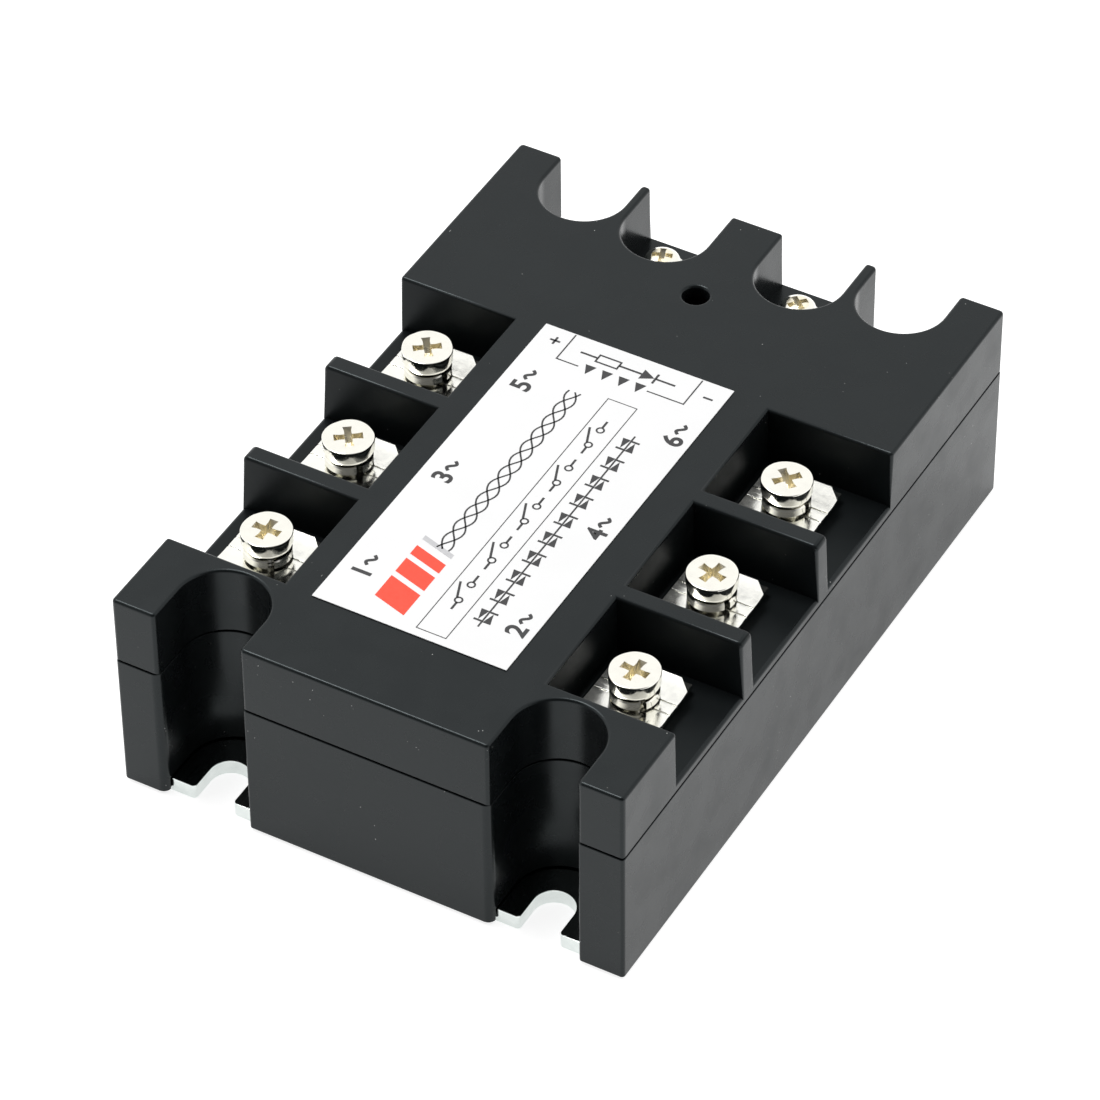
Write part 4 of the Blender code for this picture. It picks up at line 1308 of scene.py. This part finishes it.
def make_hardware():
    for number in range(1, 2 * PHASES + 1):
        node = f"power_screw_{number}"
        turn = POWER_RECESS_TURN[number - 1]
        style = (flat_head_rings, POWER_THREAD, POWER_RECESS, turn, 3.1 * number)
        make_screw(f"cross_screw_{number}", node, node, *style)
        body = f"power_washers_{number}"
        start = -60.0 + 9 * number
        make_split_washer(f"split_ring_{number}", f"lock_washer_{number}", body, SCREW_BORE, start)
        make_grooved_washer(f"grooved_washer_{number}", f"square_washer_{number}", body)
        make_power_strap(number)
    for number in (1, 2):
        node = f"input_screw_{number}"
        turn = INPUT_RECESS_TURN[number - 1]
        style = (pan_head_rings, INPUT_THREAD, INPUT_RECESS, turn, 1.7 * number)
        make_screw(f"small_screw_{number}", node, node, *style)
        node = f"input_washer_{number}"
        make_plain_washer(f"small_washer_{number}", node, node)
        make_input_strap(number)


# ---- Electronics that keep their CAD shapes ----


def finish_inner_nodes():
    resin = make_mottled("cast_resin", (0.012, 0.012, 0.013), (0.028, 0.028, 0.030), 4 * MM, 0.45)
    alumina = make_mottled("alumina", (0.74, 0.74, 0.72), (0.84, 0.84, 0.82), 0.6 * MM, 0.6)
    silicon = make_mottled("silicon_die", (0.05, 0.05, 0.065), (0.10, 0.10, 0.125), 2 * MM, 0.25, 0.4)
    cream = ((0.76, 0.76, 0.72), (0.86, 0.86, 0.83))
    package = make_mottled("white_package", *cream, 1 * MM, 0.5, 0.0, 0.02 * MM)
    lens = make_mottled("red_lens_resin", (0.32, 0.010, 0.010), (0.46, 0.018, 0.016), 1.5 * MM, 0.12)
    board = make_board()
    lacquer = make_resistor()
    by_prefix = {
        "potting": resin,
        "substrate": alumina,
        "thyristor": silicon,
        "driver": package,
        "indicator_led": lens,
        "control_board": board,
        "gate_resistor": lacquer,
        "terminal_nut": ZINC,
    }
    for name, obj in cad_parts.items():
        for prefix, material in by_prefix.items():
            if name.startswith(prefix):
                coat(obj, material)


# ---- Stage, light and camera ----


def make_stage():
    """A plain pale floor, bright enough to melt into the backdrop."""
    surface = Surface("stage_floor", (STAGE_TONE,) * 3, 0.9)
    surface.set("Emission Color", (1.0, 1.0, 1.0, 1.0))
    surface.set("Emission Strength", STAGE_GLOW)
    surface.set("Specular IOR Level", 0.0)
    half = STAGE_HALF
    shape = bmesh.new()
    corners = ((-half, -half), (half, -half), (half, half), (-half, half))
    shape.faces.new([shape.verts.new((x, y, -STAGE_DROP)) for x, y in corners])
    floor = object_from("stage_floor", shape)
    floor.data.materials.append(surface.material)
    floor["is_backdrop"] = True


def make_light():
    """A white tent that is open, and so dark, on the near side, with a broad soft lamp overhead."""
    world = bpy.data.worlds.new("surround")
    bpy.context.scene.world = world
    world.use_nodes = True
    tree = world.node_tree
    background = tree.nodes["Background"]
    place = tree.nodes.new("ShaderNodeTexCoord")
    toward = tree.nodes.new("ShaderNodeVectorMath")
    toward.operation = "DOT_PRODUCT"
    toward.inputs[1].default_value = TENT_OPENING.normalized()
    tree.links.new(place.outputs["Generated"], toward.inputs[0])
    tone = tree.nodes.new("ShaderNodeValToRGB")
    edge, middle = tone.color_ramp.elements
    edge.position, middle.position = TENT_EDGE
    edge.color = (1.0, 1.0, 1.0, 1.0)
    middle.color = (TENT_DARK, TENT_DARK, TENT_DARK, 1.0)
    tree.links.new(toward.outputs["Value"], tone.inputs["Fac"])
    tree.links.new(tone.outputs["Color"], background.inputs["Color"])
    background.inputs["Strength"].default_value = TENT_STRENGTH
    lamp = bpy.data.lights.new("soft_lamp", "AREA")
    lamp.shape = "DISK"
    lamp.size = LAMP_SIZE
    lamp.energy = LAMP_ENERGY
    lamp_object = link_object("soft_lamp", lamp)
    lamp_object.location = LAMP_PLACE
    lamp_object.rotation_euler = (-LAMP_PLACE).to_track_quat("-Z", "Y").to_euler()


def make_camera():
    camera = link_object("camera", bpy.data.cameras.new("camera"))
    camera.data.lens = CAMERA_LENS
    camera.data.sensor_width = CAMERA_SENSOR
    camera.data.clip_start = CAMERA_CLIP
    level = math.cos(CAMERA_ELEVATION)
    x = math.sin(CAMERA_AZIMUTH) * level
    y = -math.cos(CAMERA_AZIMUTH) * level
    back = Vector((x, y, math.sin(CAMERA_ELEVATION)))
    camera.location = CAMERA_AIM + back * CAMERA_DISTANCE
    look = back.to_track_quat("Z", "Y").to_matrix()
    camera.rotation_euler = (look @ Matrix.Rotation(CAMERA_ROLL, 3, "Z")).to_euler()
    bpy.context.scene.camera = camera
    bpy.context.scene.view_settings.view_transform = "Standard"


make_camera()
make_light()
make_stage()
make_lower_case()
make_top_cover()
make_base_plate()
make_label()
make_hardware()
finish_inner_nodes()

bpy.context.view_layer.update()
bounds = {"cad": CAD_BOUNDS, "visual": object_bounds()}
{key: [list(corner) for corner in value] for key, value in bounds.items()}
